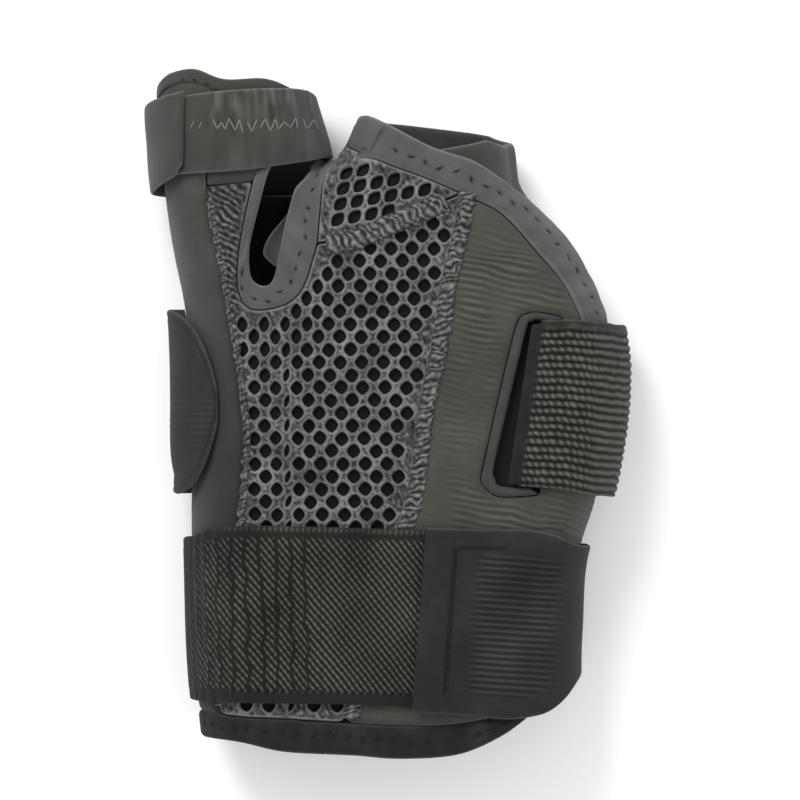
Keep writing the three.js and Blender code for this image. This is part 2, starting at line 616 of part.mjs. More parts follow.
function wristStrapTab() {
  const inner = layer(WRIST_TAB_RAMP, STRAP_LIFT, STRAP_LIFT, STRAP_LIFT, STRAP_LIFT);
  const shell = handShell(inner, thicker(inner, STRAP_THICKNESS));
  const place = (table) => strapCorners(table, WRIST_STRAP_WIDTH, WRIST_STRAP_PLACE);
  const frontPart = prism(place(WRIST_TAB_FRONT), SEAM_HEIGHT);
  return shell.intersect(frontPart.add(prism(place(WRIST_TAB_BACK), LOW, SEAM_HEIGHT)));
}

function thumbStrap() {
  const inner = layer(STRAP_LIFT);
  const shell = thumbShell(inner, thicker(inner, THUMB_STRAP_THICKNESS));
  const place = (table) => strapCorners(table, THUMB_STRAP_WIDTH, THUMB_STRAP_PLACE);
  const frontPart = prism(place(THUMB_STRAP_FRONT), SEAM_HEIGHT - SEAM_OVERLAP);
  const outline = frontPart.add(prism(place(THUMB_STRAP_BACK), LOW, SEAM_HEIGHT));
  return shell.intersect(outline).subtract(tubeSolid(HAND_TUBE, layer(LAYER_GAP), 0));
}

function thumbStrapTab() {
  const inner = layer(STRAP_LIFT + THUMB_STRAP_THICKNESS + STRAP_STACK_GAP);
  const shell = thumbShell(inner, thicker(inner, THUMB_TAB_THICKNESS));
  const outline = strapCorners(THUMB_TAB, THUMB_STRAP_WIDTH, THUMB_STRAP_PLACE);
  return shell.intersect(prism(outline, SEAM_HEIGHT - BACK_DROP / 2));
}

// Colours of the cloth
const CLOTH = {
  padding: { color: 0x4a4946, roughness: 0.85 },
  net: { color: 0x545350, roughness: 0.9 },
  lining: { color: 0x151515, roughness: 1 },
  binding: { color: 0x5c5b58, roughness: 0.9 },
  webbing: { color: 0x42413d, roughness: 0.8 },
  elastic: { color: 0x3c3b37, roughness: 0.85 },
  tab: { color: 0x4b4a45, roughness: 0.85 },
};

const PIECES = [
  { name: 'stay_panel', make: stayPanel, cloth: CLOTH.padding },
  { name: 'thumb_stall', make: thumbStall, cloth: CLOTH.padding },
  { name: 'thumb_rim', make: thumbRim, cloth: CLOTH.binding },
  { name: 'palm_mesh', make: palmMesh, cloth: CLOTH.net },
  { name: 'web_mesh', make: webMesh, cloth: CLOTH.net },
  { name: 'palm_lining', make: palmLining, cloth: CLOTH.lining },
  { name: 'ulnar_panel', make: ulnarPanel, cloth: CLOTH.padding },
  { name: 'dorsal_panel', make: dorsalPanel, cloth: CLOTH.padding },
  { name: 'web_binding', make: webBinding, cloth: CLOTH.binding },
  { name: 'finger_binding', make: fingerBinding, cloth: CLOTH.binding },
  { name: 'slot_binding', make: slotBinding, cloth: CLOTH.binding },
  { name: 'wrist_hem', make: wristHem, cloth: CLOTH.binding },
  { name: 'hand_strap', make: handStrap, cloth: CLOTH.webbing },
  { name: 'hand_strap_tab', make: handStrapTab, cloth: CLOTH.tab },
  { name: 'wrist_strap', make: wristStrap, cloth: CLOTH.elastic },
  { name: 'wrist_strap_tab', make: wristStrapTab, cloth: CLOTH.tab },
  { name: 'thumb_strap', make: thumbStrap, cloth: CLOTH.elastic },
  { name: 'thumb_strap_tab', make: thumbStrapTab, cloth: CLOTH.tab },
];

function meshOf(solid, name, cloth) {
  const mesh = solid.getMesh();
  const geometry = new THREE.BufferGeometry();
  geometry.setAttribute('position', new THREE.BufferAttribute(new Float32Array(mesh.vertProperties), 3));
  geometry.setIndex(new THREE.BufferAttribute(new Uint32Array(mesh.triVerts), 1));
  geometry.computeVertexNormals();
  const material = new THREE.MeshStandardMaterial({ ...cloth, metalness: 0 });
  const piece = new THREE.Mesh(geometry, material);
  piece.name = name;
  return piece;
}

const splint = new THREE.Group();
for (const { name, make, cloth } of PIECES) {
  splint.add(meshOf(make(), name, cloth));
}

// The origin goes to the middle of the underside
const box = new THREE.Box3().setFromObject(splint);
const middle = box.getCenter(new THREE.Vector3());
splint.position.set(-middle.x, -middle.y, -box.min.z);
splint.updateMatrixWorld(true);

export default splint;
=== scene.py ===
import math

import bpy
import numpy as np
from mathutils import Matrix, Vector, noise
from mathutils.geometry import delaunay_2d_cdt


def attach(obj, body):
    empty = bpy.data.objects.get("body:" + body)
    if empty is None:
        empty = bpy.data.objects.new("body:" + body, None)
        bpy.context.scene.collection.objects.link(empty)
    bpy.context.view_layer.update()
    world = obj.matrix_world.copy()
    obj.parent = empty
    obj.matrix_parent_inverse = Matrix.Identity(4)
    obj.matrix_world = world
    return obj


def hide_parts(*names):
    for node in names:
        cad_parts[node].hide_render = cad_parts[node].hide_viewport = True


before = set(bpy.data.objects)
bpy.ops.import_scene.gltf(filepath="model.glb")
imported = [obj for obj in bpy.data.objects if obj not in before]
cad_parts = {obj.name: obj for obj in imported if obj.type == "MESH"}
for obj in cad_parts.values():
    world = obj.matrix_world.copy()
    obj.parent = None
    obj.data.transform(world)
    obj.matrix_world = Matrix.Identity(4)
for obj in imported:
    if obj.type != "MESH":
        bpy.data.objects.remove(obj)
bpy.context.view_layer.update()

# A black thumb spica splint, lying on its back. All lengths are millimetres until a mesh is made. The sleeve's
# sizes and section tables are the same as in the construction; SHIFT takes them to the frame's origin.
MM = 0.001
SHIFT = np.array([-0.954, -0.012, 0.0])
HALF_LENGTH = 96.3
HALF_WIDTH = 68.0
PALM_RISE = 25.5      # of the front above the side seams
BACK_DROP = 16.0      # of the back below them
THUMB_TUCK = 0.5      # the thumb's back wall lies this much higher
ROLL_POWER = 2.2      # roundness of the sides
SEAM_HEIGHT = 18.5
CROTCH = 71.7         # y where the thumb leaves the hand
THUMB_ONLY = 60.0     # y above which the thumb has walls of its own
THUMB_ROOT = -29.7

PANEL = 3.0           # thickness of the padded panels
NET = 1.4
STRAP = 1.8
NEST = 3.5            # depth of the back's wing under the front
SEAM_GAP = 0.4        # between two pieces that are sewn together
SIDE_LAP = 0.3        # where the front and the back meet at the side
FOOT_LAP = 0.7        # of the panels into the wrist hem
RIM_WIDTH = 2.6

# Sections: share of the half length, then left, right, left roll, right roll as shares of the half width,
# then rise as a share of the palm's rise
HAND_SECTIONS = [
    (0.927, -0.051, 0.525, 0.21, 0.18, 0.6),
    (0.863, -0.113, 0.537, 0.22, 0.19, 0.66),
    (0.753, -0.198, 0.562, 0.25, 0.2, 0.73),
    (0.669, -0.389, 0.579, 0.3, 0.2, 0.78),
    (0.608, -0.504, 0.64, 0.33, 0.21, 0.83),
    (0.506, -0.554, 0.772, 0.35, 0.22, 0.89),
    (0.36, -0.595, 0.887, 0.35, 0.23, 0.94),
    (0.186, -0.657, 0.941, 0.35, 0.24, 0.98),
    (0.041, -0.727, 0.941, 0.35, 0.25, 1.0),
    (-0.105, -0.78, 0.916, 0.35, 0.25, 1.0),
    (-0.25, -0.797, 0.875, 0.34, 0.26, 0.98),
    (-0.424, -0.793, 0.801, 0.33, 0.28, 0.96),
    (-0.657, -0.785, 0.78, 0.33, 0.29, 0.94),
    (-0.831, -0.768, 0.772, 0.33, 0.29, 0.94),
    (-1.049, -0.735, 0.747, 0.33, 0.29, 0.94),
]
THUMB_SECTIONS = [
    (1.029, -0.937, -0.336, 0.26, 0.26, 0.7),
    (0.927, -0.937, -0.315, 0.27, 0.27, 0.71),
    (0.767, -0.924, -0.249, 0.28, 0.28, 0.73),
    (0.622, -0.904, -0.229, 0.28, 0.28, 0.75),
    (0.448, -0.863, -0.224, 0.28, 0.28, 0.79),
    (0.317, -0.826, -0.224, 0.28, 0.28, 0.83),
    (0.186, -0.813, -0.216, 0.28, 0.28, 0.87),
    (0.041, -0.809, -0.208, 0.28, 0.28, 0.9),
    (-0.105, -0.809, -0.208, 0.28, 0.28, 0.9),
    (-0.192, -0.785, -0.208, 0.27, 0.27, 0.89),
    (-0.308, -0.73, -0.208, 0.25, 0.25, 0.84),
]

# Edges and seams seen from above, as (share of the half width, share of the half length)
STAY_SEAM = [
    (-0.632, 1.06), (-0.661, 0.936), (-0.71, 0.826), (-0.735, 0.66), (-0.673, 0.419), (-0.632, 0.256),
    (-0.595, 0.09), (-0.574, -0.073), (-0.587, -0.221), (-0.644, -0.599), (-0.7, -0.95),
]
PALM_SEAM = [
    (0.319, 0.64), (0.29, 0.52), (0.245, 0.392), (0.208, 0.221), (0.146, 0.006),
    (0.134, -0.076), (0.097, -0.25), (0.002, -0.453), (-0.109, -0.715), (-0.18, -0.95),
]
GUSSET_SEAM = [(-0.278, 0.494), (-0.142, 0.506), (-0.019, 0.541), (0.105, 0.578), (0.319, 0.64)]
WEB_OUTER = [
    (-0.505, 0.735), (-0.537, 0.674), (-0.574, 0.561), (-0.599, 0.448), (-0.599, 0.36), (-0.558, 0.308),
    (-0.471, 0.305), (-0.381, 0.328), (-0.327, 0.378), (-0.294, 0.45), (-0.278, 0.494), (-0.266, 0.59),
    (-0.253, 0.68), (-0.208, 0.744),
]
WEB_GUSSET_POINT = 10
WEB_INNER = [
    (-0.455, 0.735), (-0.487, 0.674), (-0.529, 0.561), (-0.554, 0.477), (-0.546, 0.398), (-0.5, 0.372),
    (-0.459, 0.39), (-0.434, 0.465), (-0.406, 0.561), (-0.369, 0.645), (-0.315, 0.689), (-0.261, 0.735),
]
FINGER_OUTER = [
    (-0.171, 0.898), (-0.113, 0.869), (-0.072, 0.872), (0.043, 0.831), (0.204, 0.773), (0.373, 0.733),
    (0.525, 0.663), (0.64, 0.593), (0.76, 0.503), (0.85, 0.395), (0.904, 0.302), (0.93, 0.201),
]
FINGER_INNER = [
    (-0.224, 0.799), (-0.154, 0.779), (0.019, 0.724), (0.154, 0.689), (0.319, 0.64), (0.373, 0.622),
    (0.492, 0.576), (0.624, 0.474), (0.735, 0.384), (0.809, 0.285), (0.838, 0.201),
]
FINGER_SEAM_POINT = 4
THUMB_TOP = [
    (-1.1, 0.87), (-0.966, 0.924), (-0.924, 0.971), (-0.875, 0.994), (-0.78, 1.0), (-0.657, 0.971),
    (-0.492, 0.974), (-0.397, 0.953), (-0.299, 0.913), (-0.22, 0.89),
]
WEB_FOLD_ROOT = [(-0.395, 0.59), (-0.415, 0.53), (-0.432, 0.475), (-0.445, 0.432)]
WEB_FOLD_EDGE = [(-0.402, 0.585), (-0.468, 0.52), (-0.497, 0.468), (-0.455, 0.43)]
STALL_LOW = [(-0.735, 0.66), (-0.537, 0.674), (-0.505, 0.73), (-0.348, 0.737), (-0.2, 0.745)]
DORSAL_TOP = [(-0.204, 0.878), (-0.08, 0.869), (0.014, 0.858), (0.414, 0.823), (0.488, 0.808), (0.723, 0.767)]
WING_TOP = [(0.216, 0.776), (0.459, 0.808), (0.723, 0.767)]
WING_INNER = [(0.216, 0.776), (0.253, 0.622), (0.29, 0.331), (0.249, -0.017), (0.187, -0.424), (0.146, -0.95)]
HEM_TOP = [
    (-1, -0.853), (-0.813, -0.858), (-0.611, -0.875), (-0.406, -0.881), (-0.2, -0.89), (0.064, -0.901),
    (0.311, -0.895), (0.558, -0.849), (0.723, -0.744), (0.95, -0.62),
]
HEM_BOTTOM = [
    (-1, -0.94), (-0.813, -0.945), (-0.611, -0.953), (-0.406, -0.98), (-0.134, -0.99), (0.064, -1),
    (0.299, -0.988), (0.476, -0.936), (0.607, -0.872), (0.723, -0.802), (0.95, -0.68),
]

# Strap outlines, as (share of the half width, share of the strap's width from its centre line)
HAND_STRAP_WIDTH = 50.0
HAND_STRAP_Y = 0.02 * HALF_LENGTH
HAND_STRAP_TOP = [(0.599, 0.482), (0.764, 0.484), (0.891, 0.465), (0.986, 0.426), (1.134, 0.392)]
HAND_STRAP_BOTTOM = [(0.5, -0.434), (0.721, -0.451), (0.834, -0.486), (0.945, -0.486), (1.134, -0.47)]
HAND_STRAP_EDGE = [(0.597, 0.46), (0.5, -0.425)]
SLOT_OUTER = [
    (0.731, 0.498), (0.632, 0.526), (0.583, 0.518), (0.544, 0.465), (0.48, 0.123), (0.406, -0.33),
    (0.397, -0.409), (0.418, -0.459), (0.476, -0.498), (0.632, -0.487),
]
SLOT_INNER = [
    (0.69, 0.454), (0.632, 0.484), (0.599, 0.476), (0.579, 0.431), (0.5, -0.014), (0.447, -0.33),
    (0.451, -0.398), (0.476, -0.442), (0.591, -0.448),
]
WRIST_STRAP_WIDTH = 50.0
WRIST_STRAP_Y = -0.593 * HALF_LENGTH
WRIST_STRAP_TOP = [(-1.171, 0.409), (-0.809, 0.448), (-0.611, 0.521), (0.064, 0.504), (0.27, 0.504)]
WRIST_STRAP_BOTTOM = [(-1.171, -0.459), (-0.772, -0.459), (0.002, -0.476), (0.27, -0.5)]
WRIST_TAB_TOP = [(0.169, 0.515), (0.406, 0.504), (0.585, 0.504), (0.69, 0.476), (0.793, 0.414), (1, 0.37)]
WRIST_TAB_BOTTOM = [
    (0.113, -0.51), (0.323, -0.532), (0.492, -0.554), (0.606, -0.536), (0.663, -0.507), (0.719, -0.44),
    (0.768, -0.342), (0.813, -0.258), (1, -0.2),
]
THUMB_STRAP_WIDTH = 24.0
THUMB_STRAP_Y = 0.814 * HALF_LENGTH
THUMB_STRAP_TOP = [
    (-0.86, 0.36), (-0.8, 0.44), (-0.595, 0.502), (-0.369, 0.513), (-0.299, 0.432), (-0.183, 0.432),
]
THUMB_STRAP_BOTTOM = [
    (-0.86, -0.48), (-0.595, -0.443), (-0.389, -0.362), (-0.28, -0.3), (-0.163, -0.18),
]


def column(rows, index, y):
    """Value of one column of a section table at a place along the splint, on a smooth curve."""
    along = y / HALF_LENGTH
    last = len(rows) - 1
    i = 0
    while i < last - 1 and along < rows[i + 1][0]:
        i += 1

    def slope(k):
        before = rows[max(k - 1, 0)]
        after = rows[min(k + 1, last)]
        return (after[index] - before[index]) / (after[0] - before[0])

    span = rows[i + 1][0] - rows[i][0]
    t = min(max((along - rows[i][0]) / span, 0.0), 1.0)
    start = rows[i][index] * (2 * t**3 - 3 * t**2 + 1)
    end = rows[i + 1][index] * (3 * t**2 - 2 * t**3)
    bend = slope(i) * span * (t**3 - 2 * t**2 + t) + slope(i + 1) * span * (t**3 - t**2)
    return start + end + bend


def section(rows, drop, y):
    """One cross-section: left, right, left roll, right roll, rise and drop, in millimetres."""
    left, right, left_roll, right_roll = (column(rows, k, y) * HALF_WIDTH for k in (1, 2, 3, 4))
    return left, right, left_roll, right_roll, column(rows, 5, y) * PALM_RISE, drop


def hand_section(y):
    return section(HAND_SECTIONS, BACK_DROP, y)


def thumb_section(y):
    return section(THUMB_SECTIONS, BACK_DROP - THUMB_TUCK, y)


def height(one, x, depth):
    """Height of a section above its side seam at each x; far below where x is outside it."""
    left, right, left_roll, right_roll = one[:4]
    past = np.maximum((x - right + right_roll) / right_roll, (left + left_roll - x) / left_roll)
    share = np.clip(past, 0.0, 1.0)
    curve = depth * (1 - share**ROLL_POWER) ** (1 / ROLL_POWER)
    return np.where(past <= 1 + 1e-9, curve, -50.0)


def smooth_max(a, b, reach):
    """The larger of two heights, with the crease between them rounded."""
    near = np.maximum(reach - np.abs(a - b), 0.0) / reach
    return np.maximum(a, b) + near * near * reach / 4


def unit(vectors):
    return vectors / np.maximum(np.linalg.norm(vectors, axis=-1, keepdims=True), 1e-9)


class Chart:
    """The sleeve's outer surface laid out flat: s runs along the section, y along the splint."""

    STEP = 0.5
    LIMIT = 225.0
    SAMPLES = 120
    CREASE = 4.0

    def __init__(self, middle, sections_at, low, high):
        self.low = low
        self.y = np.arange(low, high + 0.5, 1.0)
        self.s = np.arange(-self.LIMIT, self.LIMIT + self.STEP / 2, self.STEP)
        self.front = []
        self.back = []
        self.back_left = []
        points = np.array([self._row(middle, sections_at(y)) for y in self.y])
        x, z = points[:, 0], points[:, 1]
        xs = np.gradient(x, axis=1) / self.STEP
        zs = np.gradient(z, axis=1) / self.STEP
        xy = np.gradient(x, axis=0)
        zy = np.gradient(z, axis=0)
        normal = unit(np.stack([-zs, zs * xy - xs * zy, xs], axis=-1))
        self.grid = np.concatenate([x[..., None], z[..., None], normal], axis=-1)

    def _row(self, middle, sections):
        left = min(one[0] for one in sections)
        right = max(one[1] for one in sections)

        def front_z(x):
            z = height(sections[0], x, sections[0][4])
            for one in sections[1:]:
                z = smooth_max(z, height(one, x, one[4]), self.CREASE)
            return SEAM_HEIGHT + np.maximum(z, 0.0)

        def back_z(x):
            return SEAM_HEIGHT - np.maximum(np.max([height(one, x, one[5]) for one in sections], axis=0), 0.0)

        ease = np.sin(np.linspace(0, math.pi / 2, self.SAMPLES))
        right_x = middle + (right - middle) * ease
        left_x = middle + (left - middle) * ease
        turn = np.cos(np.linspace(0, math.pi, 2 * self.SAMPLES))
        back_x = (left + right) / 2 + (right - left) / 2 * turn

        def run(front_x, behind_x):
            x = np.concatenate([front_x, behind_x[1:]])
            z = np.concatenate([front_z(front_x), back_z(behind_x[1:])])
            length = np.concatenate([[0.0], np.cumsum(np.hypot(np.diff(x), np.diff(z)))])
            return x, z, length

        rx, rz, rs = run(right_x, back_x)
        lx, lz, ls = run(left_x, back_x[::-1])
        n = self.SAMPLES
        self.front.append((np.concatenate([lx[:n][::-1], rx[1:n]]), np.concatenate([-ls[:n][::-1], rs[1:n]])))
        self.back.append((rx[n - 1:][::-1], rs[n - 1:][::-1]))
        self.back_left.append((lx[n - 1:], -ls[n - 1:]))
        s = np.concatenate([-ls[::-1], rs[1:]])
        x = np.interp(self.s, s, np.concatenate([lx[::-1], rx[1:]]))
        z = np.interp(self.s, s, np.concatenate([lz[::-1], rz[1:]]))
        return x, z

    def _blend(self, table, y):
        place = min(max((y - self.low), 0.0), len(table) - 1.001)
        j = int(place)
        f = place - j
        return [a * (1 - f) + b * f for a, b in zip(table[j], table[j + 1])]

    def _find(self, table, points):
        return np.array([(np.interp(x, *self._blend(table, y)), y) for x, y in points])

    def on_front(self, points):
        """Chart places of points that are seen from above on the front."""
        return self._find(self.front, points)

    def on_back(self, points):
        """Chart places of points on the back, reached round the right side."""
        return self._find(self.back, points)

    def on_back_left(self, points):
        """Chart places of points on the back, reached round the left side."""
        return self._find(self.back_left, points)

    def side(self, y, right):
        """Chart place of the side seam."""
        return self._blend(self.front, y)[1][-1 if right else 0]

    def side_x(self, y, right):
        return self._blend(self.front, y)[0][-1 if right else 0]

    def place(self, s, y, lift):
        """Points in space, a distance outside the sleeve."""
        s, y, lift = np.broadcast_arrays(s, y, lift)
        row = np.clip(y - self.low, 0, len(self.y) - 1.001)
        col = np.clip((s + self.LIMIT) / self.STEP, 0, len(self.s) - 1.001)
        j, i = row.astype(int), col.astype(int)
        fj, fi = (row - j)[..., None], (col - i)[..., None]
        g = self.grid
        low = g[j, i] * (1 - fi) + g[j, i + 1] * fi
        high = g[j + 1, i] * (1 - fi) + g[j + 1, i + 1] * fi
        both = low * (1 - fj) + high * fj
        return np.stack([
            both[..., 0] + both[..., 2] * lift,
            y + both[..., 3] * lift,
            both[..., 1] + both[..., 4] * lift,
        ], axis=-1)


def whole_sections(y):
    """Hand and thumb joined below the crotch, the hand alone above it."""
    return [hand_section(y), thumb_section(y)] if THUMB_ROOT <= y <= CROTCH else [hand_section(y)]


def thumb_side_sections(y):
    """The thumb alone from its stall up, and both joined below."""
    return [thumb_section(y)] if y > THUMB_ONLY else whole_sections(y)


HAND = Chart(20.0, whole_sections, -101.0, 89.3)
THUMB = Chart(-40.0, thumb_side_sections, -101.0, 99.1)


def ease(t):
    """0 to 1 with soft ends."""
    t = np.clip(t, 0, 1)
    return t * t * (3 - 2 * t)


# Outlines

CURVE_STEPS = 8


def scaled(table, width=HALF_LENGTH, start=0.0):
    return [(a * HALF_WIDTH, start + b * width) for a, b in table]


def curve(table, width=HALF_LENGTH, start=0.0):
    """Points on a smooth curve through a table."""
    p = np.array(scaled(table, width, start), float)
    out = []
    for i in range(len(p) - 1):
        a, b, c, d = p[max(i - 1, 0)], p[i], p[i + 1], p[min(i + 2, len(p) - 1)]
        v0, v1 = (c - a) / 2, (d - b) / 2
        for t in np.arange(CURVE_STEPS) / CURVE_STEPS:
            out.append((2 * b - 2 * c + v0 + v1) * t**3 + (-3 * b + 3 * c - 2 * v0 - v1) * t**2 + v0 * t + b)
    out.append(p[-1])
    return np.array(out)


def height_on(line, x):
    """The y of a curve at each x."""
    order = np.argsort(line[:, 0])
    return np.interp(x, line[order, 0], line[order, 1])


def at_x(line, x, down=0.0):
    """Points of a curve at each x, moved down by a lap."""
    return np.column_stack([x, height_on(line, x) - down])


def run_of(line):
    """The length along a line at each of its points."""
    return np.concatenate([[0.0], np.cumsum(np.linalg.norm(np.diff(line, axis=0), axis=1))])


def resample(points, step, closed=False):
    """Evenly spaced points along a polyline."""
    p = np.asarray(points, float)
    if closed:
        p = np.vstack([p, p[:1]])
    length = run_of(p)
    keep = np.concatenate([[True], np.diff(length) > 1e-6])
    p, length = p[keep], length[keep]
    count = max(int(round(length[-1] / step)), 3)
    at = np.linspace(0, length[-1], count + 1)
    out = np.stack([np.interp(at, length, p[:, k]) for k in range(p.shape[1])], axis=1)
    return out[:-1] if closed else out


def signed_area(p):
    return 0.5 * np.sum(p[:, 0] * np.roll(p[:, 1], -1) - np.roll(p[:, 0], -1) * p[:, 1])


def inset(points, distance):
    """Moves a closed outline inwards."""
    p = np.asarray(points, float)
    turn = 1.0 if signed_area(p) > 0 else -1.0
    before = unit(p - np.roll(p, 1, axis=0))[:, ::-1] * [-1, 1]
    after = unit(np.roll(p, -1, axis=0) - p)[:, ::-1] * [-1, 1]
    middle = unit(before + after)
    reach = distance / np.maximum(np.sum(middle * before, axis=1), 0.6)
    return p + turn * middle * reach[:, None]


def is_inside(points, outline):
    inside = np.zeros(len(points), bool)
    ends = np.roll(outline, -1, axis=0)
    x, y = points[:, 0], points[:, 1]
    for (ax, ay), (bx, by) in zip(outline, ends):
        crosses = (ay > y) != (by > y)
        if crosses.any():
            at = ax + (y[crosses] - ay) * (bx - ax) / (by - ay)
            hit = np.zeros(len(points), bool)
            hit[crosses] = x[crosses] < at
            inside ^= hit
    return inside


def outside_holes(points, holes):
    """Which points lie in none of the holes."""
    keep = np.ones(len(points), bool)
    for hole in holes:
        middle = hole.mean(axis=0)
        far = np.max(np.linalg.norm(hole - middle, axis=1))
        close = np.where(np.linalg.norm(points - middle, axis=1) < far)[0]
        keep[close[is_inside(points[close], hole)]] = False
    return keep


def distance_to(points, outlines):
    """Distance from each point to the nearest of some closed outlines."""
    starts = np.vstack(outlines)
    ends = np.vstack([np.roll(o, -1, axis=0) for o in outlines])
    along = ends - starts
    size = np.maximum(np.sum(along**2, axis=1), 1e-12)
    out = np.empty(len(points))
    for k in range(0, len(points), 1500):
        part = points[k:k + 1500, None, :] - starts[None]
        t = np.clip(np.sum(part * along[None], axis=2) / size, 0, 1)
        gap = part - t[..., None] * along[None]
        out[k:k + 1500] = np.sqrt(np.min(np.sum(gap**2, axis=2), axis=1))
    return out


# Meshes

def put(name, data):
    thing = bpy.data.objects.new(name, data)
    bpy.context.scene.collection.objects.link(thing)
    return thing


def make_mesh(name, points, faces, cloth, painted_shading_and_mottle, material, node=()):
    """An object in metres in the frame, with its cloth coordinates and, for the material, its painted light
    and shade (lighter ridges and edges, darker hollows and insides) with some random mottle.
    """
    mesh = bpy.data.meshes.new(name)
    mesh.from_pydata(((points + SHIFT) * MM).tolist(), [], faces)
    mesh.update()
    coordinates = np.zeros((len(points), 3), np.float32)
    coordinates[:, :cloth.shape[1]] = cloth
    mesh.attributes.new("cloth", "FLOAT_VECTOR", "POINT").data.foreach_set("vector", coordinates.ravel())
    mesh.attributes.new("painted_shading_and_mottle", "FLOAT", "POINT").data.foreach_set("value", np.asarray(painted_shading_and_mottle, np.float32))
    mesh.shade_smooth()
    mesh.materials.append(material)
    piece = put(name, mesh)
    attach(piece, "root")
    if node:
        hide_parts(node)
    return piece


def round_edge(distance, radius):
    share = np.clip(distance / radius, 0, 1)
    return np.sqrt(np.maximum(1 - (1 - share) ** 2, 0.0))


def flat_panel(outline, holes=(), spacing=1.6, edge_step=1.0, rings=(0.3, 0.9), angle=0.0, stretch=1.0):
    """Triangles of an outline with holes, with finer points along its edge. angle and stretch turn and
    lengthen the grid inside."""
    outline = resample(outline, edge_step, closed=True)
    loops = [outline, *holes]
    near = np.vstack([inset(loop, ring if loop is outline else -ring) for ring in rings for loop in loops])
    low, high = outline.min(axis=0), outline.max(axis=0)
    centre, reach = (low + high) / 2, np.linalg.norm(high - low) / 2
    u = np.arange(-reach, reach, spacing * stretch)
    v = np.arange(-reach, reach, spacing)
    gu, gv = np.meshgrid(u, v)
    c, s = math.cos(angle), math.sin(angle)
    grid = np.stack([centre[0] + gu * c - gv * s, centre[1] + gu * s + gv * c], axis=-1).reshape(-1, 2)
    grid = grid[np.all((grid > low) & (grid < high), axis=1)]
    grid = grid[is_inside(grid, outline)]
    grid = grid[distance_to(grid, loops) > rings[-1] + spacing * 0.35]
    near = near[is_inside(near, outline)]
    near = near[distance_to(near, loops) > rings[0] * 0.8]
    inner = np.vstack([near, grid])
    points = np.vstack([*loops, inner[outside_holes(inner, holes)]])
    edges, start = [], 0
    for loop in loops:
        n = len(loop)
        edges += [(start + k, start + (k + 1) % n) for k in range(n)]
        start += n
    result = delaunay_2d_cdt([Vector(p) for p in points], edges, [], 0, 1e-4)
    verts = np.array([tuple(v) for v in result[0]])
    tris = np.array([f for f in result[2] if len(f) == 3])
    middle = verts[tris].mean(axis=1)
    tris = tris[is_inside(middle, outline) & outside_holes(middle, holes)]
    a, b, c = verts[tris[:, 0]], verts[tris[:, 1]], verts[tris[:, 2]]
    area = (b[:, 0] - a[:, 0]) * (c[:, 1] - a[:, 1]) - (b[:, 1] - a[:, 1]) * (c[:, 0] - a[:, 0])
    tris[area < 0] = tris[area < 0][:, ::-1]
    used, tris = np.unique(tris, return_inverse=True)
    verts, tris = verts[used], tris.reshape(-1, 3)
    return verts, tris, distance_to(verts, loops)


# Painted highlight along the edges of the pieces, where their rounded edges catch the light
PAINTED_EDGE_HIGHLIGHT = 1.0
# Painted shade on the inner faces and in the hollows, where little light reaches
PAINTED_INNER_SHADE = -1.2


def cut(outline, step, holes=(), **grid):
    """A panel's flat shape, smaller than its outline by half a seam's gap."""
    return flat_panel(inset(resample(outline, step, True), SEAM_GAP / 2), holes, **grid)


def panel(name, chart, flat, outer, thickness, radius, material, node=(), relief=None, edge_highlight=True,
          inner_shade=None):
    """A closed padded panel. outer is the lift of its outside, a number or a function of (s, y)."""
    verts, tris, gap = flat
    s, y = verts[:, 0], verts[:, 1]
    lift = outer(s, y) if callable(outer) else np.full(len(s), float(outer))
    rise, painted_shading_and_mottle = relief(s, y, gap) if relief else (np.zeros(len(s)), np.zeros(len(s)))
    full = round_edge(gap, radius)
    middle = lift - thickness / 2
    top = chart.place(s, y, middle + thickness / 2 * full + rise * np.minimum(gap, 1))
    bottom = chart.place(s, y, middle - thickness / 2 * full)
    inner = gap > 1e-3
    index = np.arange(len(s))
    index[inner] = len(s) + np.arange(inner.sum())
    points = np.vstack([top, bottom[inner]])
    faces = tris.tolist() + index[tris][:, ::-1].tolist()
    cloth = np.vstack([verts, verts[inner]])
    # A painted highlight along the panel's edge
    painted_shading_and_mottle = painted_shading_and_mottle + PAINTED_EDGE_HIGHLIGHT * np.exp(-((gap / 0.35) ** 2)) if edge_highlight else painted_shading_and_mottle
    # The inner faces get painted shade
    inside = inner_shade(y[inner]) if inner_shade else np.full(inner.sum(), PAINTED_INNER_SHADE)
    return make_mesh(name, points, faces, cloth, np.concatenate([painted_shading_and_mottle, inside]), material, node)


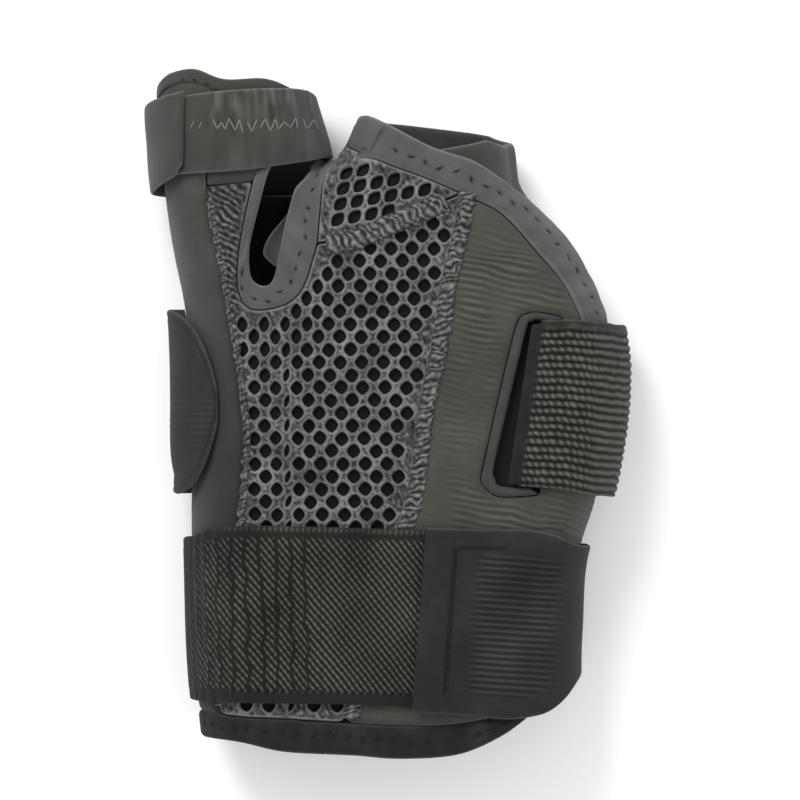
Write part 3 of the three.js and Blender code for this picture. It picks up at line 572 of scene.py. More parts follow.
def band(name, chart, low, high, outer, thickness, material, node=(), relief=None, across=12, under=6,
         radius=0.9, closed=False, tilt=None, end=1.0, edge_shading=PAINTED_EDGE_HIGHLIGHT):
    """A strip between two edges with the same number of (s, y) points. outer is the lift of its outside at
    each station, tilt the angle of the strip out of the surface there."""
    low, high = np.asarray(low, float), np.asarray(high, float)
    count = len(low)
    run = run_of((low + high) / 2)
    width = np.linalg.norm(high - low, axis=1)
    edge = np.array([0.0, 0.22, 0.6]) / np.mean(width)
    first = 1.2 / np.mean(width)
    v = np.concatenate([edge, np.linspace(first, 1 - first, across), 1 - edge[::-1]])
    back = np.linspace(1, 0, under + 2)[1:-1]
    outer = np.broadcast_to(np.asarray(outer, float), (count,))
    tilt = np.zeros(count) if tilt is None else np.asarray(tilt, float)

    def lay(share, sign):
        flat = low[:, None] * (1 - share[None, :, None]) + high[:, None] * share[None, :, None]
        gap = np.minimum(share, 1 - share)[None, :] * width[:, None]
        full = round_edge(gap, radius)
        if not closed:
            ends = np.minimum(run, run[-1] - run) + 0.15 * end
            full = full * round_edge(ends, end)[:, None]
        along = np.broadcast_to(run[:, None], gap.shape)
        rise, painted_shading_and_mottle, weave = np.zeros_like(gap), np.zeros_like(gap), np.zeros_like(gap)
        if relief and sign > 0:
            made = relief(flat[..., 0], flat[..., 1], along, share[None, :] * width[:, None], width[:, None])
            # Painted light along both edges; a negative amount paints shade there instead
            rise, painted_shading_and_mottle = made[0], made[1] + edge_shading * np.exp(-((gap / 0.45) ** 2))
            weave = made[2] if len(made) > 2 else weave
        off = sign * thickness / 2 * full + rise * np.minimum(full, 1)
        s = flat[..., 0] - off * np.sin(tilt)[:, None]
        lift = outer[:, None] - thickness / 2 + off * np.cos(tilt)[:, None]
        cloth = np.stack([along, share[None] * width[:, None], weave], -1)
        return chart.place(s, flat[..., 1], lift), cloth, painted_shading_and_mottle

    top, top_cloth, top_tone = lay(v, 1)
    bottom, bottom_cloth, bottom_tone = lay(back, -1)
    points = np.concatenate([top, bottom], axis=1)
    cloth = np.concatenate([top_cloth, bottom_cloth], axis=1)
    painted_shading_and_mottle = np.concatenate([top_tone, bottom_tone], axis=1)
    size = points.shape[1]
    faces = []
    for i in range(count if closed else count - 1):
        a, b = i * size, ((i + 1) % count) * size
        for k in range(size):
            j = (k + 1) % size
            faces.append((a + k, b + k, b + j, a + j))
    if not closed:
        faces.append(tuple(range(size)))
        faces.append(tuple((count - 1) * size + k for k in range(size))[::-1])
    if signed_area(np.array([low[0], high[0], high[-1], low[-1]])) > 0:
        faces = [f[::-1] for f in faces]
    return make_mesh(name, points.reshape(-1, 3), faces, cloth.reshape(-1, 3), painted_shading_and_mottle.reshape(-1), material,
                     node)


def rough(points, scale, seed):
    """Smooth noise at each (s, y), from -1 to 1."""
    flat = np.column_stack([np.ravel(points[0]), np.ravel(points[1])]) / scale
    values = [noise.noise(Vector((a, b, seed))) for a, b in flat]
    return np.array(values).reshape(np.shape(points[0]))


def dents(s, y, places, length, width, angles):
    """Rounded dents at stitch places, 0 to 1."""
    out = np.zeros(np.shape(s))
    for (ps, py), angle in zip(places, angles):
        ds, dy = s - ps, y - py
        near = (np.abs(ds) < 3 * length) & (np.abs(dy) < 3 * length)
        if near.any():
            c, q = math.cos(angle), math.sin(angle)
            a = (ds[near] * c + dy[near] * q) / length
            b = (-ds[near] * q + dy[near] * c) / width
            out[near] = np.maximum(out[near], np.exp(-(a * a + b * b)))
    return out


# Materials

def srgb(value):
    value = value / 255
    return value / 12.92 if value <= 0.04045 else ((value + 0.055) / 1.055) ** 2.4


def colour(r, g, b):
    return (srgb(r), srgb(g), srgb(b), 1.0)


def node_of(tree, kind, inputs=None, **settings):
    made = tree.nodes.new(kind)
    for key, value in settings.items():
        setattr(made, key, value)
    for key, value in (inputs or {}).items():
        made.inputs[key].default_value = value
    return made


def calc(tree, operation, *values):
    """One step of arithmetic in a material; each value is a number or another step's result."""
    step = tree.nodes.new("ShaderNodeMath")
    step.operation = operation
    for socket, value in zip(step.inputs, values):
        if isinstance(value, (int, float)):
            socket.default_value = value
        else:
            tree.links.new(value, socket)
    return step.outputs[0]


TWILL_ANGLE = math.radians(52)
TWILL_PITCH = 1.45
WALE_PITCH = 4.0
WALES_FROM = 34.0


def twill(tree, cloth):
    """Height of a twill weave from 0 to 1, in clean cords at first and broken by wales further on."""
    parts = node_of(tree, "ShaderNodeSeparateXYZ")
    tree.links.new(cloth.outputs["Vector"], parts.inputs[0])
    along, across, amount = parts.outputs
    sway = node_of(tree, "ShaderNodeTexNoise", {"Scale": 0.16, "Detail": 2.0})
    tree.links.new(cloth.outputs["Vector"], sway.inputs["Vector"])
    sway = calc(tree, "SUBTRACT", sway.outputs["Fac"], 0.5)
    broken = calc(tree, "DIVIDE", calc(tree, "SUBTRACT", along, WALES_FROM), 7.0)
    broken = calc(tree, "MINIMUM", calc(tree, "MAXIMUM", broken, 0.0), 1.0)
    wale = calc(tree, "ADD", calc(tree, "DIVIDE", along, WALE_PITCH), calc(tree, "MULTIPLY", sway, 0.9))
    index = calc(tree, "FLOOR", wale)
    shift = calc(tree, "MULTIPLY", calc(tree, "SINE", calc(tree, "MULTIPLY", index, 2.4)), 0.75)
    shift = calc(tree, "MULTIPLY", shift, broken)
    down = calc(tree, "MULTIPLY", across, math.cos(TWILL_ANGLE))
    line = calc(tree, "SUBTRACT", down, calc(tree, "MULTIPLY", along, math.sin(TWILL_ANGLE)))
    line = calc(tree, "ADD", calc(tree, "ADD", line, shift), calc(tree, "MULTIPLY", sway, 0.7))
    cord = calc(tree, "COSINE", calc(tree, "MULTIPLY", line, 2 * math.pi / TWILL_PITCH))
    cord = calc(tree, "MULTIPLY_ADD", cord, 0.5, 0.5)
    run = calc(tree, "ADD", calc(tree, "MULTIPLY", along, math.cos(TWILL_ANGLE)),
               calc(tree, "MULTIPLY", across, math.sin(TWILL_ANGLE)))
    bead = calc(tree, "COSINE", calc(tree, "MULTIPLY", run, 2 * math.pi / 1.7))
    bead = calc(tree, "MULTIPLY_ADD", bead, 0.16, 0.84)
    side = calc(tree, "ABSOLUTE", calc(tree, "SUBTRACT", calc(tree, "FRACT", wale), 0.5))
    furrow = calc(tree, "SMOOTH_MIN", calc(tree, "SUBTRACT", side, 0.5), 0.0, 0.05)
    furrow = calc(tree, "MULTIPLY", furrow, -6.0)
    furrow = calc(tree, "MINIMUM", furrow, 1.0)
    furrow = calc(tree, "SUBTRACT", 1.0, calc(tree, "MULTIPLY", calc(tree, "SUBTRACT", 1.0, furrow), broken))
    height = calc(tree, "MULTIPLY", calc(tree, "MULTIPLY", cord, bead), furrow)
    return height, amount


def cloth_material(name, dark, mid, light, weave, weave_bump, sheen=0.08, shine=0.25, twilled=False):
    """A dyed cloth: mottled colour, with painted light and shade from a vertex attribute (lighter ridges and
    edges, darker hollows and insides) and painted highlights on its raised yarns, with a fine weave. The dark
    and light colours end the ramp that this painted shading runs along. weave holds the pitch across, the
    pitch along, in millimetres, and the angle of the yarns."""
    material = bpy.data.materials.new(name)
    material.use_nodes = True
    tree = material.node_tree
    tree.nodes.clear()
    link = tree.links.new
    output = node_of(tree, "ShaderNodeOutputMaterial")
    shader = node_of(tree, "ShaderNodeBsdfPrincipled", {
        "Roughness": 0.9, "Sheen Weight": sheen, "Sheen Roughness": 0.6, "Specular IOR Level": shine,
    })
    link(shader.outputs["BSDF"], output.inputs["Surface"])
    cloth = node_of(tree, "ShaderNodeAttribute", attribute_name="cloth")
    painted_shading_and_mottle = node_of(tree, "ShaderNodeAttribute", attribute_name="painted_shading_and_mottle")

    pitch_across, pitch_along, angle = weave
    turned = node_of(tree, "ShaderNodeMapping")
    turned.inputs["Rotation"].default_value = (0, 0, angle)
    link(cloth.outputs["Vector"], turned.inputs["Vector"])
    waves = []
    for axis, pitch in (("X", pitch_across), ("Y", pitch_along)):
        wave = node_of(tree, "ShaderNodeTexWave", {
            "Scale": 1 / pitch / 3.1831, "Distortion": 0.6, "Detail": 1.0, "Detail Scale": 2.0,
        }, bands_direction=axis)
        link(turned.outputs["Vector"], wave.inputs["Vector"])
        waves.append(wave.outputs["Fac"])
    yarn = calc(tree, "MULTIPLY", *waves)

    mottle = node_of(tree, "ShaderNodeTexNoise", {"Scale": 0.09, "Detail": 4.0, "Roughness": 0.6})
    link(cloth.outputs["Vector"], mottle.inputs["Vector"])
    fuzz = node_of(tree, "ShaderNodeTexNoise", {"Scale": 2.2, "Detail": 3.0, "Roughness": 0.7})
    link(cloth.outputs["Vector"], fuzz.inputs["Vector"])

    # Ramp position: painted light and shade from the vertex attribute, real random mottle, and a painted
    # highlight on the yarn crests
    shade = calc(tree, "MULTIPLY_ADD", painted_shading_and_mottle.outputs["Fac"], 0.34, 0.33)
    shade = calc(tree, "MULTIPLY_ADD", mottle.outputs["Fac"], 0.3, shade)
    shade = calc(tree, "MULTIPLY_ADD", yarn, 0.06, shade)
    relief = yarn
    if twilled:
        height, amount = twill(tree, cloth)
        # The raised twill cords are painted lighter: painted highlight
        raised = calc(tree, "MULTIPLY", calc(tree, "SUBTRACT", height, 0.42), amount)
        shade = calc(tree, "ADD", shade, calc(tree, "MULTIPLY", raised, 0.66))
        relief = calc(tree, "ADD", relief, calc(tree, "MULTIPLY", raised, 2.5))
    ramp = node_of(tree, "ShaderNodeValToRGB")
    first, last = ramp.color_ramp.elements
    first.position, first.color = 0.12, colour(*dark)
    last.position, last.color = 0.95, colour(*light)
    ramp.color_ramp.elements.new(0.5).color = colour(*mid)
    link(shade, ramp.inputs["Fac"])
    link(ramp.outputs["Color"], shader.inputs["Base Color"])

    ground = calc(tree, "MULTIPLY_ADD", fuzz.outputs["Fac"], 0.35, relief)
    bump = node_of(tree, "ShaderNodeBump", {"Strength": weave_bump, "Distance": 0.0003})
    link(ground, bump.inputs["Height"])
    link(bump.outputs["Normal"], shader.inputs["Normal"])
    return material


PADDING = cloth_material("padding_cloth", (12, 12, 11), (51, 51, 48), (90, 90, 86),
                         (0.9, 0.6, 0.1), 0.3)
BROWN = cloth_material("ribbed_cloth", (14, 13, 12), (57, 55, 50), (98, 94, 86),
                       (0.9, 0.6, 0.1), 0.3)
NETTING = cloth_material("net_knit", (7, 7, 7), (60, 59, 58), (122, 121, 118),
                         (0.5, 0.5, 0.7), 0.4)
DARK = cloth_material("lining_cloth", (3, 3, 3), (10, 10, 10), (18, 18, 17),
                      (0.8, 0.8, 0.0), 0.4, sheen=0.02)
BINDING = cloth_material("binding_tape", (12, 12, 11), (68, 68, 66), (112, 112, 108),
                         (0.6, 0.6, 0.8), 0.25)
# The webbing and elastic colours hold painted shade for the weaker light on the lower half, as well as the
# cloths' own colour
WEBBING = cloth_material("webbing_weave", (3, 3, 3), (35, 34, 31), (92, 90, 83),
                         (0.5, 0.9, 0.0), 0.4, sheen=0.04, shine=0.15)
ELASTIC = cloth_material("elastic_weave", (3, 3, 3), (30, 29, 26), (92, 87, 77),
                         (0.5, 0.5, 0.8), 0.6, sheen=0.04, shine=0.15, twilled=True)
TAB = cloth_material("tab_cloth", (12, 12, 11), (50, 50, 47), (88, 87, 84),
                     (0.7, 0.5, 0.0), 0.25)
# A copy of tab_cloth made darker for the lower tabs: painted shade for the weaker light on the lower half
SHADED_TAB = cloth_material("shaded_tab_cloth", (7, 7, 6), (33, 32, 30), (70, 67, 62),
                          (0.7, 0.5, 0.0), 0.25, sheen=0.04, shine=0.15)
# The hem tape is darker than the binding tapes: painted shade for the weaker light at the bottom, as well as
# the tape's own colour
HEM = cloth_material("hem_tape", (4, 4, 4), (31, 31, 29), (64, 64, 60),
                     (0.6, 0.6, 0.8), 0.25, sheen=0.02, shine=0.1)
THREAD = cloth_material("stitch_thread", (4, 4, 4), (10, 10, 10), (20, 20, 20),
                        (0.3, 0.3, 0.6), 0.3)
PALE_THREAD = cloth_material("pale_thread", (60, 60, 58), (98, 98, 95), (130, 130, 126),
                             (0.3, 0.3, 0.6), 0.3)


# Edges shared by the pieces, seen from above in millimetres

stay_seam = curve(STAY_SEAM)
palm_seam = curve(PALM_SEAM)
gusset_seam = curve(GUSSET_SEAM)
web_outer = curve(WEB_OUTER)
web_outer_low = web_outer[: WEB_GUSSET_POINT * CURVE_STEPS + 1]
web_outer_high = web_outer[WEB_GUSSET_POINT * CURVE_STEPS:]
web_inner = curve(WEB_INNER)
finger_outer = curve(FINGER_OUTER)
finger_inner = curve(FINGER_INNER)
finger_inner_radial = finger_inner[: FINGER_SEAM_POINT * CURVE_STEPS + 1]
finger_inner_ulnar = finger_inner[FINGER_SEAM_POINT * CURVE_STEPS:]
thumb_top = curve(THUMB_TOP)
rim_line = thumb_top - [0, RIM_WIDTH]
dorsal_top = curve(DORSAL_TOP)
hem_top = curve(HEM_TOP)
hem_bottom = curve(HEM_BOTTOM)
wing_inner = curve(WING_INNER)


def above_hem(line):
    return line[line[:, 1] > height_on(hem_top, line[:, 0])]


# Soft folds; their colour is painted lighter where the cloth rises and darker where it sinks: painted light
# and shade
def soft_folds(s, y, amount, scale, seed):
    rise = rough((s, y), scale, seed) * amount + rough((s, y), scale / 4, seed + 7) * amount * 0.3
    return rise, rise / amount * 0.35


# Panels

def stay_panel():
    seam = above_hem(stay_seam[stay_seam[:, 1] < height_on(rim_line, stay_seam[:, 0])])
    top_x = np.linspace(seam[0, 0], THUMB.side_x(90.0, False), 12)
    top = THUMB.on_front(at_x(rim_line, top_x))
    foot_x = np.linspace(THUMB.side_x(-78.0, False), seam[-1, 0], 24)
    foot = THUMB.on_front(at_x(hem_top, foot_x, FOOT_LAP))
    side_y = np.append(np.arange(top[-1, 1] - 2, foot[0, 1] + 1, -2.0), foot[0, 1])
    side = np.array([(THUMB.side(y, False) - SIDE_LAP, y) for y in side_y])
    outline = np.vstack([THUMB.on_front(seam)[::-1], top[1:], side, foot[:-1]])
    flat = cut(outline, 1.0, spacing=1.5, rings=(0.25, 0.7, 1.6))

    def relief(s, y, gap):
        rise, painted_shading_and_mottle = soft_folds(s, y, 0.3, 18, 1.0)
        # Painted shade: the panel is darker towards its lower end, where less light falls; its folds are
        # painted lighter on their crests
        return rise, painted_shading_and_mottle - 0.55 * ease((45 - y) / 60)
    return panel("stay_panel_cloth", THUMB, flat, 0.0, PANEL, 2.4, PADDING, "stay_panel",
                 relief)


def thumb_stall():
    low = curve(STALL_LOW)
    low = low[low[:, 0] < THUMB.side_x(71.0, True)]
    seam = stay_seam[(stay_seam[:, 1] < height_on(rim_line, stay_seam[:, 0])) & (stay_seam[:, 1] > low[0, 1])]
    top_x = np.linspace(seam[0, 0], THUMB.side_x(86.0, True), 12)
    top = THUMB.on_front(at_x(rim_line, top_x))
    side_y = np.arange(top[-1, 1] - 2, low[-1, 1], -2.0)
    side = np.array([(THUMB.side(y, True), y) for y in side_y])
    outline = np.vstack([THUMB.on_front(seam)[::-1], top[1:], side, THUMB.on_front(low)[::-1]])
    flat = cut(outline, 1.0, spacing=1.5, rings=(0.25, 0.7, 1.6))
    return panel("thumb_stall_cloth", THUMB, flat, 0.0, PANEL, 2.0, PADDING, "thumb_stall",
                 lambda s, y, gap: soft_folds(s, y, 0.25, 12, 2.0))


def around(chart, line, count):
    """Chart places of a curve y(x) followed all the way round the sleeve, from the front's left edge."""
    places = []
    y_mid = float(np.mean(line[:, 1]))
    left, right = chart.side_x(y_mid, False), chart.side_x(y_mid, True)
    turn = np.linspace(0, 1, count, endpoint=False)
    centre, half = (left + right) / 2, (right - left) / 2
    for t in turn:
        x = centre - half * math.cos(2 * math.pi * t)
        y = float(height_on(line, x))
        front = t <= 0.5
        places.append((chart.on_front if front else chart.on_back)([(x, y)])[0])
    return np.array(places)


def thumb_rim():
    outer = around(THUMB, thumb_top, 150)
    inner = outer - [0, RIM_WIDTH + 1.6]
    for k, y in enumerate(inner[:, 1]):
        share = outer[k, 0] / max(abs(THUMB.side(outer[k, 1], outer[k, 0] > 0)), 1e-6)
        inner[k, 0] = share * abs(THUMB.side(y, outer[k, 0] > 0)) if abs(share) <= 1 else outer[k, 0]
    return band("thumb_rim_tape", THUMB, inner, outer, 0.4, PANEL + 0.4, TAB, "thumb_rim",
                across=8, under=5, radius=0.9, closed=True)


# Net

HOLE_SIDES = 16


def hole(x, y, half_x, half_y, turn, power=1.34):
    """A rounded diamond."""
    a = np.linspace(0, 2 * math.pi, HOLE_SIDES, endpoint=False)
    c, q = np.cos(a), np.sin(a)
    px = half_x * np.sign(c) * np.abs(c) ** power
    py = half_y * np.sign(q) * np.abs(q) ** power
    c, q = math.cos(turn), math.sin(turn)
    return np.column_stack([x + (px * c - py * q), y + (px * q + py * c)])


ROW_PITCH = 3.53
FIRST_ROW_Y = 32.06
COLUMN_PITCH = 5.99
COLUMN_SPREAD = 0.0035   # growth of the column pitch for each millimetre down
MIDDLE_X = -9.66
COLUMN_LEAN = 0.026      # shift of the columns for each millimetre down
HOLE_HALF_X = 1.85
HOLE_HALF_Y = 1.95
FOLD_TOP = 16.0
FOLD_DEPTH = 0.9
WRINKLED_X = -38.5
WRINKLED_Y = 31.0


def fold_x(y):
    return -27.6 + 0.02 * (10 - y)


def palm_holes(outline):
    holes = []
    rng = np.random.default_rng(5)
    edges = resample(outline, 0.8, True)
    for row in range(-18, 40):
        y = FIRST_ROW_Y - row * ROW_PITCH
        pitch = COLUMN_PITCH + COLUMN_SPREAD * row * ROW_PITCH
        middle = MIDDLE_X + COLUMN_LEAN * row * ROW_PITCH
        for k in range(-10, 12):
            x = middle + (k + (row % 2) / 2) * pitch
            if x < WRINKLED_X and y > WRINKLED_Y:
                continue
            tall = 1 / (1 + math.exp((x + 22 - 0.4 * (y - 20)) / 2.5)) * (1 / (1 + math.exp((14 - y) / 3)))
            folded = math.exp(-(((x - fold_x(y)) / 1.7) ** 2)) / (1 + math.exp((y - FOLD_TOP) / 3))
            near = math.exp(-(((x - fold_x(y)) / 9.0) ** 2)) * rng.uniform(0.0, 0.35)
            half_x = HOLE_HALF_X * (1 - 0.2 * tall) * (1 - 0.62 * folded) * (1 - 0.4 * near)
            half_y = HOLE_HALF_Y * (1 + 0.12 * tall) * (1 - 0.12 * folded)
            jitter = rng.uniform(-0.16, 0.16, 2)
            shape = hole(x + jitter[0], y + jitter[1], half_x, half_y, rng.uniform(-0.12, 0.12) - 0.3 * folded)
            if is_inside(shape, edges).all() and distance_to(shape, [edges]).min() > 0.5:
                holes.append(HAND.on_front(shape))
    return holes


def net_relief(s, y, gap):
    """Raised cords round each gap of the net, with furrows between them, and the gathers beside the web; the
    cords are painted light and the furrows and gathers painted shade, with random blotches.
    """
    cord = np.exp(-(((gap - 0.42) / 0.24) ** 2))
    furrow = np.clip((gap - 0.62) / 0.3, 0, 1)
    crinkle = rough((s + y * 0.5, y * 0.8 - s * 0.3), 1.0, 5.0)
    blotch = rough((s, y), 7.0, 6.0)
    gathered = ease((WRINKLED_S - s) / 3) * ease((y - WRINKLED_Y + 2) / 4)
    ridge = np.sin(2 * math.pi * (y + 0.55 * s + 1.6 * rough((s, y), 4.0, 7.0)) / 1.9)
    rise = 0.3 * cord - 0.16 * furrow + 0.5 * furrow * crinkle
    painted_shading_and_mottle = 0.75 * cord - 0.2 * furrow + 0.08 + 1.9 * furrow * crinkle + 0.5 * blotch
    rise = rise * (1 - gathered) + gathered * (0.45 * ridge + 0.5 * crinkle)
    painted_shading_and_mottle = painted_shading_and_mottle * (1 - gathered) + gathered * (0.8 * ridge + 1.2 * crinkle - 0.3)
    return rise, np.clip(painted_shading_and_mottle, -1.2, 1.4)


FOLD_LINE = HAND.on_front(np.column_stack([fold_x(HAND.y), HAND.y]))
WRINKLED_S = float(HAND.on_front([(WRINKLED_X, 45.0)])[0][0])


def fold_lift(s, y):
    """The net dips along the fold."""
    d = s - np.interp(y, FOLD_LINE[:, 1], FOLD_LINE[:, 0])
    strength = 1 / (1 + np.exp((y - FOLD_TOP) / 4))
    dip, swell = np.exp(-((d / 1.4) ** 2)), np.exp(-(((d - 4) / 2.5) ** 2))
    return 0.1 - FOLD_DEPTH * strength * dip + 0.5 * strength * swell


def palm_sides():
    """The stay panel's seam, the hem and the palm seam, round the foot of the net."""
    stay = above_hem(stay_seam[stay_seam[:, 1] <= 0.66 * HALF_LENGTH])
    palm = above_hem(palm_seam)
    foot_x = np.linspace(stay[-1, 0], palm[-1, 0], 30)[1:-1]
    return [stay, at_x(hem_top, foot_x), palm[::-1]]


def net_panel(name, outline, find_holes, lift, node):
    inner = inset(resample(outline, 1.0, True), SEAM_GAP / 2)
    flat = flat_panel(HAND.on_front(resample(inner, 0.9, True)), find_holes(inner), spacing=0.52,
                      rings=(0.16, 0.42), edge_step=0.9)
    panel(name, HAND, flat, lift, NET, 0.6, NETTING, node, net_relief, edge_highlight=False)


def palm_mesh():
    outline = np.vstack([*palm_sides(), gusset_seam[::-1][1:], web_outer_low[8:][::-1][1:]])
    net_panel("palm_mesh_net", outline, palm_holes, fold_lift, "palm_mesh")


WEB_NET_X, WEB_NET_Y = -12.26, 58.6
WEB_NET_TURN = math.radians(48)


def web_holes(outline):
    holes = []
    edges = resample(outline, 0.8, True)
    for i in range(-4, 9):
        for j in range(-5, 8):
            x = WEB_NET_X + 4.7 * i + 0.75 * j
            y = WEB_NET_Y + 0.79 * i + 4.4 * j
            shape = hole(x, y, 2.3, 1.6, WEB_NET_TURN, 1.3)
            if x < HAND.side_x(y, False) + 4.5:
                continue
            if is_inside(shape, edges).all() and distance_to(shape, [edges]).min() > 0.4:
                holes.append(HAND.on_front(shape))
    return holes


def web_mesh():
    corner = (-0.224 * HALF_WIDTH, 0.799 * HALF_LENGTH)
    outline = np.vstack([
        gusset_seam, finger_inner_radial[::-1][1:], resample([corner, tuple(web_outer_high[-1])], 1.0)[1:],
        web_outer_high[::-1][1:-1],
    ])
    edge = np.array([HAND.side_x(y, False) + 0.6 for y in outline[:, 1]])
    outline[:, 0] = np.maximum(outline[:, 0], edge)
    net_panel("web_mesh_net", outline, web_holes, 0.0, "web_mesh")


def palm_lining():
    outline = np.vstack([*palm_sides(), finger_inner_radial[::-1][1:],
                         resample([tuple(finger_inner_radial[0]), tuple(web_outer[-1])], 1.0)[1:],
                         web_outer[8:][::-1][1:]])
    flat = flat_panel(inset(HAND.on_front(resample(outline, 1.0, True)), SEAM_GAP), spacing=2.4, rings=(0.4,))
    panel("palm_lining_cloth", HAND, flat, -1.9, 1.0, 0.5, DARK, "palm_lining")


RIB_ANGLE = math.radians(-11)


def rib_relief(pitch, depth, weight, seed=4.0):
    def relief(s, y, gap):
        across = -s * math.sin(RIB_ANGLE) + y * math.cos(RIB_ANGLE)
        wobble = rough((s, y * 2), 11.0, seed) * 1.1 + rough((s, y), 3.5, seed + 1) * 0.25
        wave = np.cos(2 * math.pi * (across + wobble) / pitch)
        patchy = np.clip(0.65 + 1.1 * rough((s, y), 9.0, seed + 5), 0.15, 1)
        amount = weight(s, y) * np.clip(gap / 3, 0, 1) * patchy
        fold, _ = soft_folds(s, y, 0.3, 22, seed + 2)
        # The ribs and folds are painted lighter on their crests and darker in their troughs: painted light and
        # shade
        return fold + depth * amount * wave, wave * amount * 0.5 + fold * 0.8
    return relief


def ulnar_panel():
    palm = above_hem(palm_seam)
    x_end = HAND.side_x(-70.0, True)
    foot_x = np.linspace(palm[-1, 0], x_end, 40)[1:]
    foot = HAND.on_front(at_x(hem_top, foot_x))
    top = HAND.on_front(finger_inner_ulnar)
    side_y = np.arange(foot[-1, 1] + 1, top[-1, 1], 2.0)
    side = np.array([(HAND.side(y, True) - 4.2, y) for y in side_y])
    foot = foot[foot[:, 0] < HAND.side(foot[-1, 1], True) - 4.2]
    outline = np.vstack([HAND.on_front(palm), foot, side, top[::-1][:-1]])
    slot = resample(curve(SLOT_OUTER, HAND_STRAP_WIDTH, HAND_STRAP_Y), 1.0, True)
    slot_hole = inset(resample(HAND.on_front(slot), 1.0, True), -SEAM_GAP / 2)
    flat = cut(outline, 1.0, [slot_hole], spacing=0.46, rings=(0.25, 0.7, 1.5), angle=RIB_ANGLE, stretch=3.2)

    def weight(s, y):
        return np.clip((56 - y) / 12, 0.05, 1) * np.clip((s + 6) / 8, 0.1, 1) * (1 - 0.5 * ease((s - 26) / 8))
    return panel("ulnar_panel_cloth", HAND, flat, 0.0, PANEL, 2.2, BROWN, "ulnar_panel",
                 rib_relief(1.85, 0.17, weight))


def dorsal_lift(s, y):
    """Nested under the front layer on the right, and the sleeve's outer face on the back."""
    side = np.interp(y, HAND.y[::4], [HAND.side(v, True) for v in HAND.y[::4]])
    return -NEST * (1 - ease((s - side + 2) / 10))


def dorsal_panel():
    inner = above_hem(wing_inner)
    inner_s = HAND.on_front(inner)
    top_front_x = np.linspace(inner[0, 0], HAND.side_x(76.0, True), 16)
    wing_line = np.array(scaled(WING_TOP))
    top_front = HAND.on_front(at_x(wing_line, top_front_x))
    back_x = np.linspace(HAND.side_x(76.0, True), HAND.side_x(84.0, False), 40)
    top_back = HAND.on_back(at_x(dorsal_top, back_x))
    left_y = np.arange(top_back[-1, 1] - 1, -81.0, -1.5)
    left = np.array([HAND.on_back([(HAND.side_x(y, False), y)])[0] for y in left_y])
    left[:, 0] += SIDE_LAP
    thumb_low = THUMB_ONLY + 1.8
    left_hand = left[left[:, 1] >= CROTCH]
    join_y = np.append(np.arange(71, thumb_low, -1.5), thumb_low)
    inner_join = np.array([HAND.on_back([(HAND.side_x(CROTCH + 1, False), y)])[0] for y in join_y])
    left_whole = left[left[:, 1] < min(CROTCH, thumb_low)]
    left_whole = np.vstack([[left_whole[0, 0], thumb_low], left_whole])
    foot_x = np.linspace(HAND.side_x(-78.0, False), HAND.side_x(-70.0, True), 60)
    foot_back = HAND.on_back(at_x(hem_top, foot_x, FOOT_LAP))
    foot_front_x = np.linspace(HAND.side_x(-70.0, True), inner[-1, 0], 24)[1:]
    foot_front = HAND.on_front(at_x(hem_top, foot_front_x, FOOT_LAP))
    outline = np.vstack([inner_s[::-1], top_front[1:], top_back[1:], left_hand, inner_join, left_whole,
                         foot_back, foot_front[:-1]])
    flat = cut(outline, 1.2, spacing=2.0, rings=(0.3, 0.9, 1.8))
    slot = HAND.on_front(resample(curve(SLOT_OUTER, HAND_STRAP_WIDTH, HAND_STRAP_Y), 1.0, True))

    def relief(s, y, gap):
        rise, painted_shading_and_mottle = soft_folds(s, y, 0.25, 20, 6.0)
        shaded_behind_slot = is_inside(np.column_stack([s, y]), slot)
        # Painted highlight on the top edge above the crotch; painted shade behind the slot and in the inner
        # corner by the thumb
        painted_shading_and_mottle = painted_shading_and_mottle + PAINTED_EDGE_HIGHLIGHT * np.exp(-((gap / 0.4) ** 2)) * ease((y - CROTCH) / 2)
        shaded_inner_corner = (y < CROTCH + 2) & (y > THUMB_ONLY - 1) & (gap < 1.6) & (s > HAND.side(60.0, True) + 20)
        return rise, np.where(shaded_behind_slot | shaded_inner_corner, PAINTED_INNER_SHADE, painted_shading_and_mottle)
    # Its inner faces get painted shade, less of it above the crotch
    return panel("dorsal_panel_cloth", HAND, flat, dorsal_lift, PANEL, 2.0, PADDING, "dorsal_panel",
                 relief, edge_highlight=False, inner_shade=lambda y: PAINTED_INNER_SHADE + 0.85 * ease((y - CROTCH) / 4))


def thumb_back():
    """The back wall of the thumb sleeve."""
    low_y = THUMB_ONLY + 1.0
    right_y = np.arange(low_y, 84, 1.5)
    right = np.array([(THUMB.side(y, True) + 0.1, y) for y in right_y])
    top_x = np.linspace(THUMB.side_x(86.0, True), THUMB.side_x(89.0, False), 24)
    top = THUMB.on_back(at_x(rim_line, top_x))
    left_y = np.arange(top[-1, 1] - 1, low_y, -1.5)
    left = np.array([THUMB.on_back([(THUMB.side_x(y, False), y)])[0] for y in left_y])
    left[:, 0] += SIDE_LAP
    outline = np.vstack([right, top, left])
    flat = cut(outline, 1.0, spacing=1.8, rings=(0.3, 0.9, 1.6))

    def relief(s, y, gap):
        rise, painted_shading_and_mottle = soft_folds(s, y, 0.2, 14, 7.0)
        # Painted shade along the low edge of the back wall, inside the sleeve
        return rise, np.where((gap < 1.6) & (y < THUMB_ONLY + 3), PAINTED_INNER_SHADE, painted_shading_and_mottle)
    return panel("thumb_back_cloth", THUMB, flat, 0.0, PANEL, 2.0, PADDING, (),
                 relief, edge_highlight=False)


# Bindings

def on_sleeve(chart, line):
    """The part of a line that lies between the sleeve's two side seams."""
    keep = [chart.side_x(y, False) + 0.1 < x < chart.side_x(y, True) - 0.1 for x, y in line]
    return line[np.array(keep)]


